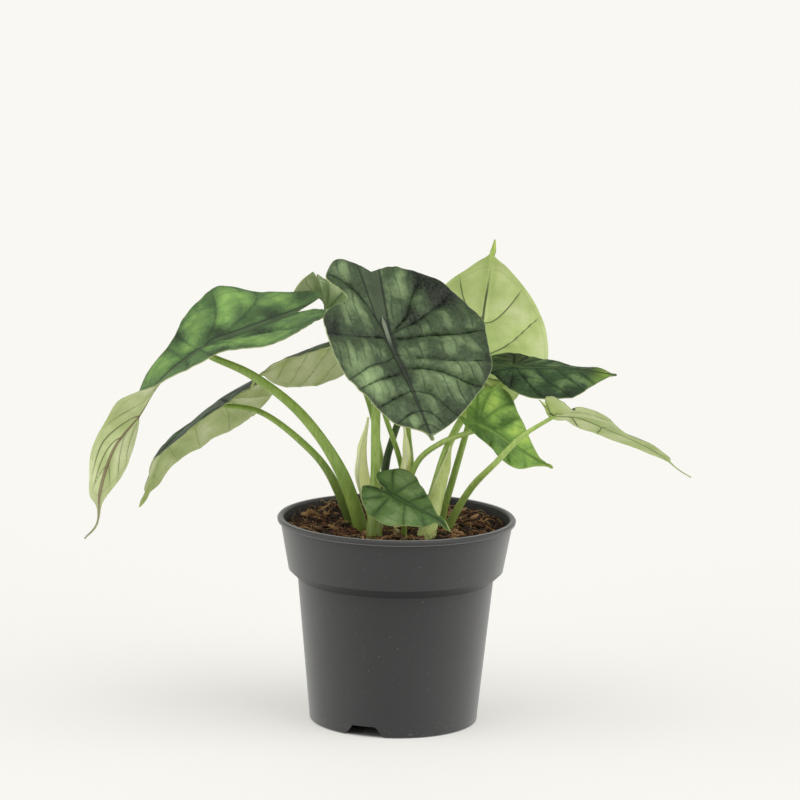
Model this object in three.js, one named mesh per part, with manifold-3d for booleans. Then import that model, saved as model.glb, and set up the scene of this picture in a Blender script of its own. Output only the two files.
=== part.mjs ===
// Potted dragon scale alocasia: a clump of shield-leaved aroids in a 12 cm nursery pot.
// Millimetres, +Z up. The origin is the middle of the pot's foot, and -Y is the front.
import * as THREE from 'three';
import { mergeVertices } from 'three/addons/utils/BufferGeometryUtils.js';
import Module from 'manifold-3d';

const wasm = await Module();
wasm.setup();

// Driving dimensions
const POT_HEIGHT = 104;
const RIM_RADIUS = 60;
const COLLAR_RADIUS = 54; // outside, at the collar's lower edge
const SHOULDER_RADIUS = 49.3; // where the tapered wall meets the collar
const FOOT_RADIUS = 42.3;
const COLLAR_DEPTH = 26.5; // from the lip down to the shoulder
const SHOULDER_DROP = 4.5;
const WALL = 1.5;
const LIP_HEIGHT = 3;
const LIP_OVERHANG = 1.7;
const LIP_WIDTH = 3.2;
const FOOT_RING = 3; // width of the ring that the pot stands on
const FLOOR_HEIGHT = 6; // the floor stands clear of the surface on the foot ring
const FOOT_NOTCHES = 3;
const FIRST_NOTCH_DEG = 250; // 0 is +X, anticlockwise from above
const NOTCH_HEIGHT = 5.5;
const NOTCH_TOP = 12;
const NOTCH_BOTTOM = 19;
const DRAIN_HOLES = 6;
const DRAIN_RADIUS = 3.5;
const DRAIN_CIRCLE = 29;
const SOIL_LEVEL = 96;
const GAP = 0.3; // between neighbouring pieces
const BLADE_THICKNESS = 0.7;
const MIDRIB_DEPTH = 0.6; // how far the midrib stands out under the blade
const STEM_BOTTOM = 84; // the petioles end this high, inside the soil
const STEM_SIDES = 8;
const STEM_STEP = 9; // between the rings of a petiole
const PETIOLE_TURN = 4; // length of its last bend, under the seat
const SHEATH_THICKNESS = 0.7;
const SHEATH_BOTTOM = 90;
const SHEATH_GAP = 0.45; // round a sheath in the soil

const group = new THREE.Group();

function finish(color, roughness) {
  return new THREE.MeshStandardMaterial({ color, roughness, metalness: 0 });
}
const POT_PLASTIC = finish(0x3b3d3f, 0.55);
const COIR = finish(0x4a3222, 0.95);
const DARK_BLADE = finish(0x3c5642, 0.5);
const YOUNG_BLADE = finish(0x5d9443, 0.45);
const PALE_BLADE = finish(0x9aae74, 0.55);
const STEM = finish(0x86a84c, 0.5);
const DARK_STEM = finish(0x3f5a2a, 0.5);
const PAPER_SHEATH = finish(0xc3cf94, 0.6);

function addPiece(name, geometry, material) {
  const mesh = new THREE.Mesh(geometry, material);
  mesh.name = name;
  group.add(mesh);
  return mesh;
}

const vector = (point) => new THREE.Vector3(...point);
const spline = (points) => new THREE.CatmullRomCurve3(points.map(vector), false, 'catmullrom', 0.5);

// The value at share u of an evenly spaced list, eased from one entry to the next.
function along(list, u) {
  const place = THREE.MathUtils.clamp(u, 0, 1) * (list.length - 1);
  const i = Math.min(Math.floor(place), Math.max(list.length - 2, 0));
  const next = list[Math.min(i + 1, list.length - 1)];
  return THREE.MathUtils.lerp(list[i], next, THREE.MathUtils.smoothstep(place - i, 0, 1));
}

function closedGeometry(positions, triangles) {
  const geometry = new THREE.BufferGeometry();
  geometry.setAttribute('position', new THREE.Float32BufferAttribute(positions, 3));
  geometry.setIndex(triangles);
  return geometry;
}

// A sheet given by its middle surface, as rows of points, made solid to both sides.
// grid[row][column]; the upper side is to the left of a walk down the rows from above.
// keel[column] is extra depth on the under side.
function shell(grid, thickness, keel) {
  const rows = grid.length;
  const columns = grid[0].length;
  const clampRow = (r) => THREE.MathUtils.clamp(r, 0, rows - 1);
  const clampColumn = (c) => THREE.MathUtils.clamp(c, 0, columns - 1);
  const upper = [];
  const lower = [];
  grid.forEach((row, r) => row.forEach((point, c) => {
    const lengthwise = grid[clampRow(r + 1)][c].clone().sub(grid[clampRow(r - 1)][c]);
    const sideways = row[clampColumn(c + 1)].clone().sub(row[clampColumn(c - 1)]);
    const normal = lengthwise.cross(sideways).normalize();
    const half = thickness / 2;
    upper.push(...point.clone().addScaledVector(normal, half).toArray());
    lower.push(...point.clone().addScaledVector(normal, -half - (keel?.[c] ?? 0)).toArray());
  }));
  const under = rows * columns;
  const triangles = [];
  for (let r = 0; r < rows - 1; r += 1) {
    for (let c = 0; c < columns - 1; c += 1) {
      const a = r * columns + c;
      const b = a + 1;
      const d = a + columns;
      const e = d + 1;
      triangles.push(a, e, b, a, d, e);
      triangles.push(under + a, under + b, under + e, under + a, under + e, under + d);
    }
  }
  const rim = [];
  for (let c = 0; c < columns - 1; c += 1) rim.push(c);
  for (let r = 0; r < rows - 1; r += 1) rim.push(r * columns + columns - 1);
  for (let c = columns - 1; c > 0; c -= 1) rim.push((rows - 1) * columns + c);
  for (let r = rows - 1; r > 0; r -= 1) rim.push(r * columns);
  rim.forEach((a, i) => {
    const b = rim[(i + 1) % rim.length];
    triangles.push(a, b, under + b, a, under + b, under + a);
  });
  return closedGeometry([...upper, ...lower], triangles);
}

// A tapering stem round a curve, grown on every side by skin. endPlane, a point and a
// normal, cuts its far end.
function stem(curve, radii, sides, steps, skin, endPlane) {
  const positions = [];
  let across = new THREE.Vector3(1, 0, 0);
  for (let i = 0; i <= steps; i += 1) {
    const u = i / steps;
    const centre = curve.getPointAt(u);
    const ahead = curve.getTangentAt(u);
    across = across.addScaledVector(ahead, -across.dot(ahead)).normalize();
    const other = ahead.clone().cross(across);
    if (i === 0) centre.addScaledVector(ahead, -skin);
    const radius = along(radii, u) + skin;
    for (let k = 0; k < sides; k += 1) {
      const turn = (2 * Math.PI * k) / sides;
      const point = centre.clone()
        .addScaledVector(across, radius * Math.cos(turn))
        .addScaledVector(other, radius * Math.sin(turn));
      if (endPlane && i === steps) {
        const reach = endPlane.point.clone().sub(point).dot(endPlane.normal);
        point.addScaledVector(ahead, reach / ahead.dot(endPlane.normal));
      }
      positions.push(...point.toArray());
    }
  }
  const triangles = [];
  for (let i = 0; i < steps; i += 1) {
    for (let k = 0; k < sides; k += 1) {
      const a = i * sides + k;
      const b = i * sides + ((k + 1) % sides);
      triangles.push(a, b, b + sides, a, b + sides, a + sides);
    }
  }
  const last = steps * sides;
  for (let k = 1; k < sides - 1; k += 1) {
    triangles.push(0, k + 1, k);
    triangles.push(last, last + k, last + k + 1);
  }
  return closedGeometry(positions, triangles);
}

function toManifold(geometry) {
  const bare = geometry.clone();
  bare.deleteAttribute('normal');
  bare.deleteAttribute('uv');
  const merged = mergeVertices(bare, 1e-5);
  return new wasm.Manifold(new wasm.Mesh({
    numProp: 3,
    vertProperties: new Float32Array(merged.attributes.position.array),
    triVerts: new Uint32Array(merged.index.array),
  }));
}

function fromManifold(solid) {
  const mesh = solid.getMesh();
  return closedGeometry(Array.from(mesh.vertProperties), Array.from(mesh.triVerts));
}

// Pot: one moulded piece with a wide collar, a rounded lip and a notched foot ring
const collarBottom = POT_HEIGHT - COLLAR_DEPTH;
const shoulderBottom = collarBottom - SHOULDER_DROP;
const innerCollarBottom = collarBottom + 0.5;
const innerShoulder = shoulderBottom + 1;
const floorRadius = FOOT_RADIUS + (SHOULDER_RADIUS - FOOT_RADIUS) * (FLOOR_HEIGHT / shoulderBottom);

function potGeometry() {
  const outside = [
    [0, FLOOR_HEIGHT - WALL],
    [FOOT_RADIUS - FOOT_RING - 0.5, FLOOR_HEIGHT - WALL],
    [FOOT_RADIUS - FOOT_RING, 0],
    [FOOT_RADIUS - 0.6, 0],
    [FOOT_RADIUS, 0.6],
    [SHOULDER_RADIUS, shoulderBottom],
    [COLLAR_RADIUS, collarBottom],
    [RIM_RADIUS - LIP_OVERHANG, POT_HEIGHT - LIP_HEIGHT],
    [RIM_RADIUS - 0.2, POT_HEIGHT - LIP_HEIGHT + 0.7],
    [RIM_RADIUS, POT_HEIGHT - 1],
    [RIM_RADIUS - 0.8, POT_HEIGHT],
    [RIM_RADIUS - 2.4, POT_HEIGHT],
  ];
  const inside = [
    [RIM_RADIUS - LIP_WIDTH, POT_HEIGHT - 0.9],
    [COLLAR_RADIUS - WALL, innerCollarBottom],
    [SHOULDER_RADIUS - WALL, innerShoulder],
    [floorRadius - WALL, FLOOR_HEIGHT],
    [0, FLOOR_HEIGHT],
  ];
  const profile = [...outside, ...inside].map(([r, z]) => new THREE.Vector2(r, z));
  const body = new THREE.LatheGeometry(profile, 48);
  body.rotateX(Math.PI / 2);
  let pot = toManifold(body);

  const half = NOTCH_TOP / 2;
  const slot = new THREE.Shape([
    new THREE.Vector2(-NOTCH_BOTTOM / 2, -1),
    new THREE.Vector2(NOTCH_BOTTOM / 2, -1),
    new THREE.Vector2(half, NOTCH_HEIGHT),
    new THREE.Vector2(-half, NOTCH_HEIGHT),
  ]);
  for (let i = 0; i < FOOT_NOTCHES; i += 1) {
    const cutter = new THREE.ExtrudeGeometry(slot, { depth: 12, bevelEnabled: false });
    cutter.rotateX(Math.PI / 2);
    cutter.translate(0, -FOOT_RADIUS + 7, 0);
    cutter.rotateZ(THREE.MathUtils.degToRad(FIRST_NOTCH_DEG + 90 + (360 / FOOT_NOTCHES) * i));
    pot = pot.subtract(toManifold(cutter));
  }
  for (let i = 0; i < DRAIN_HOLES; i += 1) {
    const hole = new THREE.CylinderGeometry(DRAIN_RADIUS, DRAIN_RADIUS, 10, 12);
    hole.rotateX(Math.PI / 2);
    hole.translate(DRAIN_CIRCLE, 0, FLOOR_HEIGHT - WALL / 2);
    hole.rotateZ((2 * Math.PI * i) / DRAIN_HOLES);
    pot = pot.subtract(toManifold(hole));
  }
  return fromManifold(pot);
}
addPiece('pot', potGeometry(), POT_PLASTIC);

// Blades. Each one is set out flat, in shares of its length and half width, and then
// bent: rib is the line of its midrib from the notch to the drip tip, face is the way
// its upper side looks, evenly spaced along the rib, and fold lifts its left and right
// halves out of flat, in degrees. Left and right are as seen on the upper side with the
// tip hanging down. seat is where the petiole meets the rib, and nicks are notches in
// the margin. wave is the height of the margin's waves and relief that of the quilting.
const MARGIN_STEPS = 10;
const BREADTH_PLACES = [0.12, 0.27, 0.42, 0.58, 0.73, 0.86, 0.95];
const WAVE_PHASE = { left: 0, right: 0.4 };
const OVATE = [0.3, 0.56, 0.8, 0.95, 1, 0.9, 0.7, 0.43, 0.19];

// breadth holds nine shares of the half width: two on the basal lobe, then one at each
// of BREADTH_PLACES, which are shares of the blade without its drip tip. The drip tip
// starts tailWidth wide.
function marginCurve({ lobe, tail, tailWidth, breadth }, half) {
  const body = 1 - tail;
  const places = [-lobe[half], -0.45 * lobe[half], ...BREADTH_PLACES.map((share) => body * share)];
  return spline([
    ...places.map((x, i) => [x, breadth[half][i], 0]),
    [body, tailWidth, 0],
    [1, 0.012, 0],
  ]);
}

function veinStarts({ seat, tail }) {
  const ahead = 1 - tail - seat;
  const basal = [0, 0.14, 0.36, 0.66, 1].map((share) => share * seat);
  const forward = [0.2, 0.42, 0.64, 0.82, 0.94].map((share) => seat + share * ahead);
  return [...basal, ...forward, 1];
}

function ribFrame(leaf, u) {
  const share = THREE.MathUtils.clamp(u, 0, 1);
  const point = leaf.ribCurve.getPointAt(share);
  const ahead = leaf.ribCurve.getTangentAt(share);
  const face = leaf.faceCurve.getPoint(share);
  face.addScaledVector(ahead, -face.dot(ahead)).normalize();
  point.addScaledVector(ahead, (u - share) * leaf.length);
  return { point, ahead, face, right: face.clone().cross(ahead) };
}

// A point of the blade's middle surface: v runs from the notch to the tip along the
// lateral veins, across from -1 at the left margin to 1 at the right.
function bladePoint(leaf, v, across) {
  const t = Math.abs(across);
  const half = across < 0 ? 'left' : 'right';
  const edge = leaf.margin[half].getPoint(v);
  leaf.nicks.filter((nick) => nick.half === half).forEach((nick) => {
    edge.y *= 1 - nick.depth * Math.exp(-(((v - nick.at) / nick.span) ** 2));
  });
  const station = v * MARGIN_STEPS;
  const i = Math.min(Math.floor(station), MARGIN_STEPS - 1);
  const start = THREE.MathUtils.lerp(leaf.starts[i], leaf.starts[i + 1], station - i);
  const bow = THREE.MathUtils.lerp(leaf.bow, -0.08, THREE.MathUtils.smoothstep(v, 0, 0.4));
  const u = start + (edge.x - start) * (t + bow * Math.sin(Math.PI * t));
  const frame = ribFrame(leaf, u);

  const reach = Math.max(edge.y * leaf.width[half], 0.6) * t;
  const fold = THREE.MathUtils.degToRad(along(leaf.fold[half], u));
  const sideways = reach * Math.cos(fold);
  const lift = reach * Math.sin(fold);
  const ripple = leaf.wave * Math.sin(2 * Math.PI * (leaf.waves * v + WAVE_PHASE[half])) * t * t;
  const quilt = -leaf.relief * Math.cos(2 * Math.PI * station) * Math.sin(Math.PI * t) * edge.y;
  return frame.point
    .addScaledVector(frame.right, (across < 0 ? -1 : 1) * sideways)
    .addScaledVector(frame.face, lift + ripple + quilt);
}

// rows runs from notch to tip, and columns are shares of the half width.
const FINE = { rows: 20, columns: [0.06, 0.24, 0.44, 0.64, 0.83, 1] };
const COARSE = { rows: 16, columns: [0.08, 0.36, 0.68, 1] };

function growLeaf(spec) {
  const leaf = {
    fold: { left: [0], right: [0] },
    wave: 0.9,
    waves: 4,
    relief: 0.6,
    lobe: { left: 0.04, right: 0.04 },
    tail: 0.03,
    tailWidth: 0.05,
    bow: 0.2,
    breadth: { left: OVATE, right: OVATE },
    nicks: [],
    turn: PETIOLE_TURN,
    detail: FINE,
    material: DARK_BLADE,
    ...spec,
  };
  leaf.ribCurve = spline(leaf.rib);
  leaf.faceCurve = spline(leaf.face);
  leaf.length = leaf.ribCurve.getLength();
  leaf.margin = { left: marginCurve(leaf, 'left'), right: marginCurve(leaf, 'right') };
  leaf.starts = veinStarts(leaf);
  return leaf;
}

function bladeGeometry(leaf) {
  const { rows, columns } = leaf.detail;
  const across = [...columns.map((t) => -t).reverse(), 0, ...columns];
  const keel = across.map((t) => (t === 0 ? MIDRIB_DEPTH : 0));
  const grid = [];
  for (let r = 0; r <= rows; r += 1) grid.push(across.map((t) => bladePoint(leaf, r / rows, t)));
  return shell(grid, BLADE_THICKNESS, keel);
}

// The petiole bends square to the blade over its last stretch, turn, under the seat.
function petioleGeometry(leaf, skin) {
  const seat = ribFrame(leaf, leaf.seat);
  const droop = Math.max(0, -along(leaf.fold.left, leaf.seat), -along(leaf.fold.right, leaf.seat));
  const tuck = leaf.girth[leaf.girth.length - 1] * Math.tan(THREE.MathUtils.degToRad(droop));
  const under = BLADE_THICKNESS / 2 + MIDRIB_DEPTH + GAP + tuck;
  const end = seat.point.clone().addScaledVector(seat.face, -under);
  const approach = end.clone().addScaledVector(seat.face, -leaf.turn);
  const [bottom, ...rest] = leaf.petiole;
  const points = [[bottom[0], bottom[1], STEM_BOTTOM], bottom, ...rest];
  if (leaf.turn > 0) points.push(approach.toArray());
  const curve = spline([...points, end.toArray()]);
  const steps = Math.round(curve.getLength() / STEM_STEP);
  return stem(curve, leaf.girth, STEM_SIDES, steps, skin, { point: end, normal: seat.face });
}

const leaves = [
  {
    name: 'front',
    rib: [[-15, 12, 226], [-6, -18, 198], [5, -42, 179], [17, -64, 155]],
    face: [[0.25, -0.6, 0.76], [0.25, -0.6, 0.76], [0.25, -0.6, 0.76]],
    width: { left: 44.5, right: 49 },
    fold: { left: [14, 22, 10], right: [0, 4, 10] },
    nicks: [
      { half: 'left', at: 0.26, span: 0.05, depth: 0.4 },
      { half: 'left', at: 0.1, span: 0.1, depth: 0.14 },
    ],
    breadth: {
      left: [0.3, 0.58, 0.72, 0.76, 0.92, 0.98, 0.85, 0.57, 0.31],
      right: [0.3, 0.5, 0.84, 1.04, 1.04, 0.99, 0.85, 0.57, 0.31],
    },
    wave: 1.3,
    waves: 5,
    seat: 0.38,
    petiole: [[-11, -17, 98], [-11, -13, 130], [-11, -8, 165]],
    girth: [5, 3.6, 2.4, 2.3, 2.2, 2],
  },
  {
    name: 'left_high',
    rib: [[-53, 2, 206], [-78, -12, 198], [-96, -20, 192], [-117, -31, 177], [-128, -39, 160],
      [-139, -45, 145], [-145, -52, 125], [-146, -56, 110], [-152, -58, 102]],
    face: [[0, 0.05, 1], [-0.2, 0, 1], [-0.5, -0.05, 0.85], [-0.8, -0.1, 0.6], [-0.5, 0.8, 0.2],
      [-0.1, 1, -0.1], [-0.1, 1, 0]],
    width: { left: 34, right: 33 },
    breadth: {
      left: [0.24, 0.43, 0.93, 0.9, 0.47, 0.55, 0.6, 0.44, 0.17],
      right: [0.46, 0.6, 0.9, 0.85, 0.8, 0.62, 0.33, 0.32, 0.25],
    },
    fold: { left: [28, 38, 32, 8, 30, 50, 55], right: [-6, -8, -5, 5, 30, 55, 55] },
    wave: 0.7,
    waves: 5,
    seat: 0.3,
    lobe: { left: 0.11, right: 0.06 },
    tail: 0.1,
    bow: 0.45,
    petiole: [[-17, -7, 96], [-28.5, -10, 129], [-48, -14, 157.5], [-72, -17, 177]],
    girth: [4, 3.4, 2.6, 2.2, 1.6],
  },
  {
    name: 'left_low',
    rib: [[-74, 24, 168], [-89, 24, 159], [-101, 28, 149], [-118, 34, 133], [-127, 40, 111],
      [-132, 40, 98]],
    face: [[-0.3, 0.3, 1], [-0.7, 0.4, 0.7], [-0.8, 0.5, 0.2]],
    width: { left: 28, right: 26 },
    breadth: { left: [0.7, 0.84, 1.11, 1.08, 0.98, 0.88, 0.62, 0.3, 0.17], right: OVATE },
    fold: { left: [-20, -20, -20], right: [-20, -22, -20] },
    wave: 0.6,
    waves: 5,
    seat: 0.2,
    tail: 0.07,
    tailWidth: 0.09,
    petiole: [[-22, 8, 95], [-34, 4, 124], [-49, 4, 141], [-69, 10, 154]],
    turn: 2,
    girth: [3.1, 2.4, 1.8, 1.5, 1.2],
    detail: COARSE,
    material: PALE_BLADE,
  },
  {
    name: 'left_mid',
    rib: [[-8, 22, 196], [-20, 14, 194.5], [-42, 4, 189.5], [-62, -5, 181], [-71, -8, 175],
      [-74, -8, 168]],
    face: [[0, 0.3, 1], [-0.1, 0.4, 1], [-0.5, 0.5, 0.8]],
    width: { left: 29, right: 22 },
    breadth: { left: [0.3, 0.56, 0.95, 1.2, 1.14, 1.03, 0.85, 0.58, 0.32], right: OVATE },
    fold: { left: [-30, -30, -20], right: [-16, -16, -12] },
    wave: 0.5,
    seat: 0.2,
    tail: 0.12,
    petiole: [[6, 8, 95], [2, 6, 128], [-7, 6, 155], [-14, 9, 178]],
    girth: [2.2, 1.4, 1.2, 1.1],
    detail: COARSE,
    material: PALE_BLADE,
  },
  {
    name: 'back_curl',
    rib: [[-42, 32, 219], [-40, 35, 212], [-38, 38, 204], [-31, 42, 192], [-26, 44, 183]],
    face: [[-0.3, 1, 0.2], [-0.3, 1, 0.1], [-0.3, 1, 0]],
    width: { left: 22, right: 20 },
    breadth: {
      left: [0.03, 0.08, 0.3, 0.6, 0.8, 0.8, 0.6, 0.4, 0.2],
      right: [0.08, 0.45, 0.72, 0.1, 0.05, 0.3, 0.5, 0.4, 0.2],
    },
    fold: { left: [40, 0, -10], right: [0, 10, 50, 80, 86] },
    wave: 0.5,
    seat: 0.45,
    lobe: { left: 0.06, right: 0.12 },
    bow: 0.3,
    petiole: [[-2, 20, 95], [-8, 25, 127], [-16, 33, 158], [-30, 37, 188]],
    girth: [2.2, 1.4, 1.2, 1.1],
    detail: COARSE,
    material: PALE_BLADE,
  },
  {
    name: 'back_low',
    rib: [[-4, 30, 163], [2, 38, 164], [7, 48, 160], [10, 60, 153], [10, 66, 146]],
    face: [[0, 0.2, 1], [0, 0.6, 0.8], [0, 1, 0.3]],
    width: { left: 20, right: 20 },
    fold: { left: [-10], right: [-10] },
    seat: 0.3,
    tail: 0.06,
    petiole: [[-8, 10, 96], [-6, 10, 127], [-3, 14, 140], [2, 24, 154]],
    girth: [3, 2, 1.8, 1.5],
    detail: COARSE,
    stemMaterial: DARK_STEM,
  },
  {
    name: 'back_upright',
    rib: [[43, 18, 162], [41, 22, 169], [42, 34, 199], [45, 36, 222], [46, 34, 231], [47, 30, 241]],
    face: [[0.1, 1, -0.1], [0.1, 1, -0.1], [0.1, 1, 0.2]],
    width: { left: 33, right: 33 },
    fold: { left: [6], right: [6] },
    wave: 0.4,
    seat: 0.14,
    lobe: { left: 0.1, right: 0.1 },
    tail: 0.07,
    breadth: {
      left: [0.24, 0.5, 0.8, 0.98, 0.95, 0.85, 0.61, 0.3, 0.07],
      right: [0.24, 0.5, 0.86, 1.02, 1.01, 0.9, 0.67, 0.31, 0.04],
    },
    petiole: [[23, 9, 102], [27.5, 9, 120], [35, 11, 148], [40, 16, 166]],
    girth: [2.8, 1.8, 1.6, 1.4],
    material: PALE_BLADE,
  },
  {
    name: 'right_dark',
    rib: [[42, 6, 180], [62, -4, 182], [78, -10, 183], [95, -12, 182], [108, -12, 180]],
    face: [[0, -0.4, 0.92], [0, -0.4, 0.92], [0, -0.4, 0.92]],
    width: { left: 20, right: 18 },
    breadth: {
      left: [0.05, 0.1, 0.3, 0.76, 1.01, 1.07, 0.98, 0.48, 0.21],
      right: [0.5, 0.8, 0.93, 0.84, 0.68, 0.47, 0.35, 0.3, 0.24],
    },
    fold: { left: [-14], right: [-6, -8, -14, -20, -10] },
    wave: 0.5,
    seat: 0.25,
    petiole: [[14, -14, 97], [19, -8, 119], [25, 0, 140], [37, 6, 160]],
    girth: [4.0, 3, 2, 1.8, 1.5],
    detail: COARSE,
  },
  {
    name: 'right_young',
    rib: [[34, -8, 156], [37, -12, 155], [46, -18, 152], [58, -22, 145], [70, -22, 138],
      [77, -20, 134]],
    face: [[0.25, -0.9, 0.2], [0.25, -0.9, 0.2], [0.35, -0.8, 0.35]],
    width: { left: 9, right: 25.5 },
    lobe: { left: 0.16, right: 0.16 },
    breadth: {
      left: [0.15, 0.25, 0.46, 0.7, 0.8, 1.05, 1, 0.4, 0.12],
      right: [0.5, 0.84, 0.83, 0.83, 0.6, 0.43, 0.23, 0.06, 0.04],
    },
    wave: 0.5,
    seat: 0.16,
    petiole: [[2, -3, 96], [8, 0, 128], [21, -2, 142]],
    girth: [2.4, 1.6, 1.4, 1.2],
    detail: COARSE,
    material: YOUNG_BLADE,
  },
  {
    name: 'far_right',
    rib: [[73, -34, 167.5], [77, -34, 163.5], [88, -30, 162.5], [103, -18, 155], [121.2, 3, 144.2],
      [133.6, 20, 134.6], [141.3, 34, 125.9], [151, 50, 116.8]],
    face: [[0.4, 0.6, 0.9], [0.4, 0.6, 0.9], [0.2, 0.9, 0.6]],
    width: { left: 16, right: 12 },
    breadth: {
      left: [0.6, 1.2, 1.9, 1.25, 0.66, 0.4, 0.3, 0.2, 0.1],
      right: [0.12, 0.1, 0.61, 1, 1.05, 1.05, 0.65, 0.5, 0.15],
    },
    fold: { left: [-10], right: [-10] },
    wave: 0.3,
    seat: 0.04,
    tail: 0.2,
    petiole: [[25, 0, 96], [36, -8, 119.4], [48.6, -28.5, 138], [61.1, -35, 152.6]],
    turn: 0,
    girth: [2.6, 1.8, 1.5, 1.0],
    detail: COARSE,
    material: PALE_BLADE,
  },
  {
    name: 'small',
    rib: [[-6, -31, 123.5], [-3, -33, 122], [2.5, -38, 120], [11.5, -44, 116.5], [21, -48, 112.5],
      [26, -49, 107]],
    face: [[0.1, -0.7, 0.7], [0.1, -0.7, 0.7], [0.1, -0.7, 0.7]],
    width: { left: 16, right: 15 },
    seat: 0.12,
    lobe: { left: 0.24, right: 0.24 },
    tail: 0.19,
    tailWidth: 0.14,
    bow: 0.3,
    breadth: {
      left: [0.35, 0.78, 1.03, 1.12, 1.08, 0.93, 0.7, 0.46, 0.4],
      right: [0.42, 1.02, 1.08, 0.98, 0.83, 0.66, 0.5, 0.25, 0.14],
    },
    petiole: [[4, -18, 96], [3, -23, 108]],
    girth: [2.0, 1.3, 1.1],
    detail: COARSE,
  },
].map(growLeaf);

leaves.forEach((leaf) => {
  addPiece(`blade_${leaf.name}`, bladeGeometry(leaf), leaf.material);
  addPiece(`petiole_${leaf.name}`, petioleGeometry(leaf, 0), leaf.stemMaterial ?? STEM);
});

// Spear: the newest leaf, still rolled, between the petioles
const SPEAR = [[8, 16, STEM_BOTTOM], [8, 16, 100], [7, 16, 125], [5, 14, 146], [4, 13, 168]];
const SPEAR_GIRTH = [2.4, 1.8, 1.6, 1.4, 0.6];
const spearGeometry = (skin) => stem(spline(SPEAR), SPEAR_GIRTH, STEM_SIDES, 10, skin);
addPiece('spear', spearGeometry(0), STEM);

// Sheaths: papery collars that stand open round a petiole. turn is the span of their
// arc in degrees, 0 towards +X and anticlockwise from above, at the foot and at the top.
const SHEATH_ROWS = 8;
const SHEATH_COLUMNS = 6;
const sheaths = [
  {
    name: 'sheath_left',
    path: [[-8, -3, SHEATH_BOTTOM], [-9.5, -2.5, 104], [-12.5, -1.5, 114], [-15, -0.5, 125],
      [-15.5, 0, 137], [-14.5, 1, 154]],
    radius: [4.2, 5, 5.6, 6, 4.6, 1],
    turn: { foot: [60, 215], top: [100, 230] },
  },
  {
    name: 'sheath_mid',
    path: [[2, -3, SHEATH_BOTTOM], [4.5, -2, 112], [6, 0, 126], [6.5, 1, 137], [3.5, 2, 149]],
    radius: [4.2, 4.2, 4.6, 3.8, 0.8],
    turn: { foot: [70, 250], top: [100, 240] },
  },
  {
    name: 'sheath_right',
    path: [[13, -14.5, SHEATH_BOTTOM], [16, -12, 105], [19.5, -8, 119], [22, -5, 128],
      [26, -3, 141]],
    radius: [5.4, 4.9, 4.3, 3.8, 1],
    turn: { foot: [-150, 70], top: [-100, 40] },
  },
];

function sheathGeometry(sheath, skin) {
  const curve = spline(sheath.path);
  const grid = [];
  for (let r = 0; r <= SHEATH_ROWS; r += 1) {
    const u = r / SHEATH_ROWS;
    const centre = curve.getPoint(u);
    if (r === 0) centre.z -= skin;
    const radius = along(sheath.radius, u);
    const margin = THREE.MathUtils.radToDeg(skin / radius);
    const from = THREE.MathUtils.lerp(sheath.turn.foot[0], sheath.turn.top[0], u) - margin;
    const to = THREE.MathUtils.lerp(sheath.turn.foot[1], sheath.turn.top[1], u) + margin;
    const row = [];
    for (let c = 0; c <= SHEATH_COLUMNS; c += 1) {
      const turn = THREE.MathUtils.degToRad(THREE.MathUtils.lerp(from, to, c / SHEATH_COLUMNS));
      row.push(new THREE.Vector3(Math.cos(turn), Math.sin(turn), 0).multiplyScalar(radius).add(centre));
    }
    grid.push(row);
  }
  return shell(grid, SHEATH_THICKNESS + 2 * skin);
}
sheaths.forEach((sheath) => addPiece(sheath.name, sheathGeometry(sheath, 0), PAPER_SHEATH));

// Soil: coir and bark, filling the pot. Every stem and sheath stands in its own hole.
const SOIL_SEGMENTS = 48;
const SOIL_RINGS = [0.25, 0.5, 0.75, 0.9, 1]; // shares of its radius at the top
const wallSlope = (RIM_RADIUS - LIP_WIDTH - COLLAR_RADIUS + WALL) / (COLLAR_DEPTH - 1.4);
const soilRadius = (z) => COLLAR_RADIUS - WALL - GAP + wallSlope * (z - innerCollarBottom);

const soilHeight = (x, y) => SOIL_LEVEL
  + 0.9 * Math.sin(0.19 * x + 1) * Math.cos(0.23 * y)
  + 0.5 * Math.sin(0.41 * x - 0.33 * y);

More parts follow.
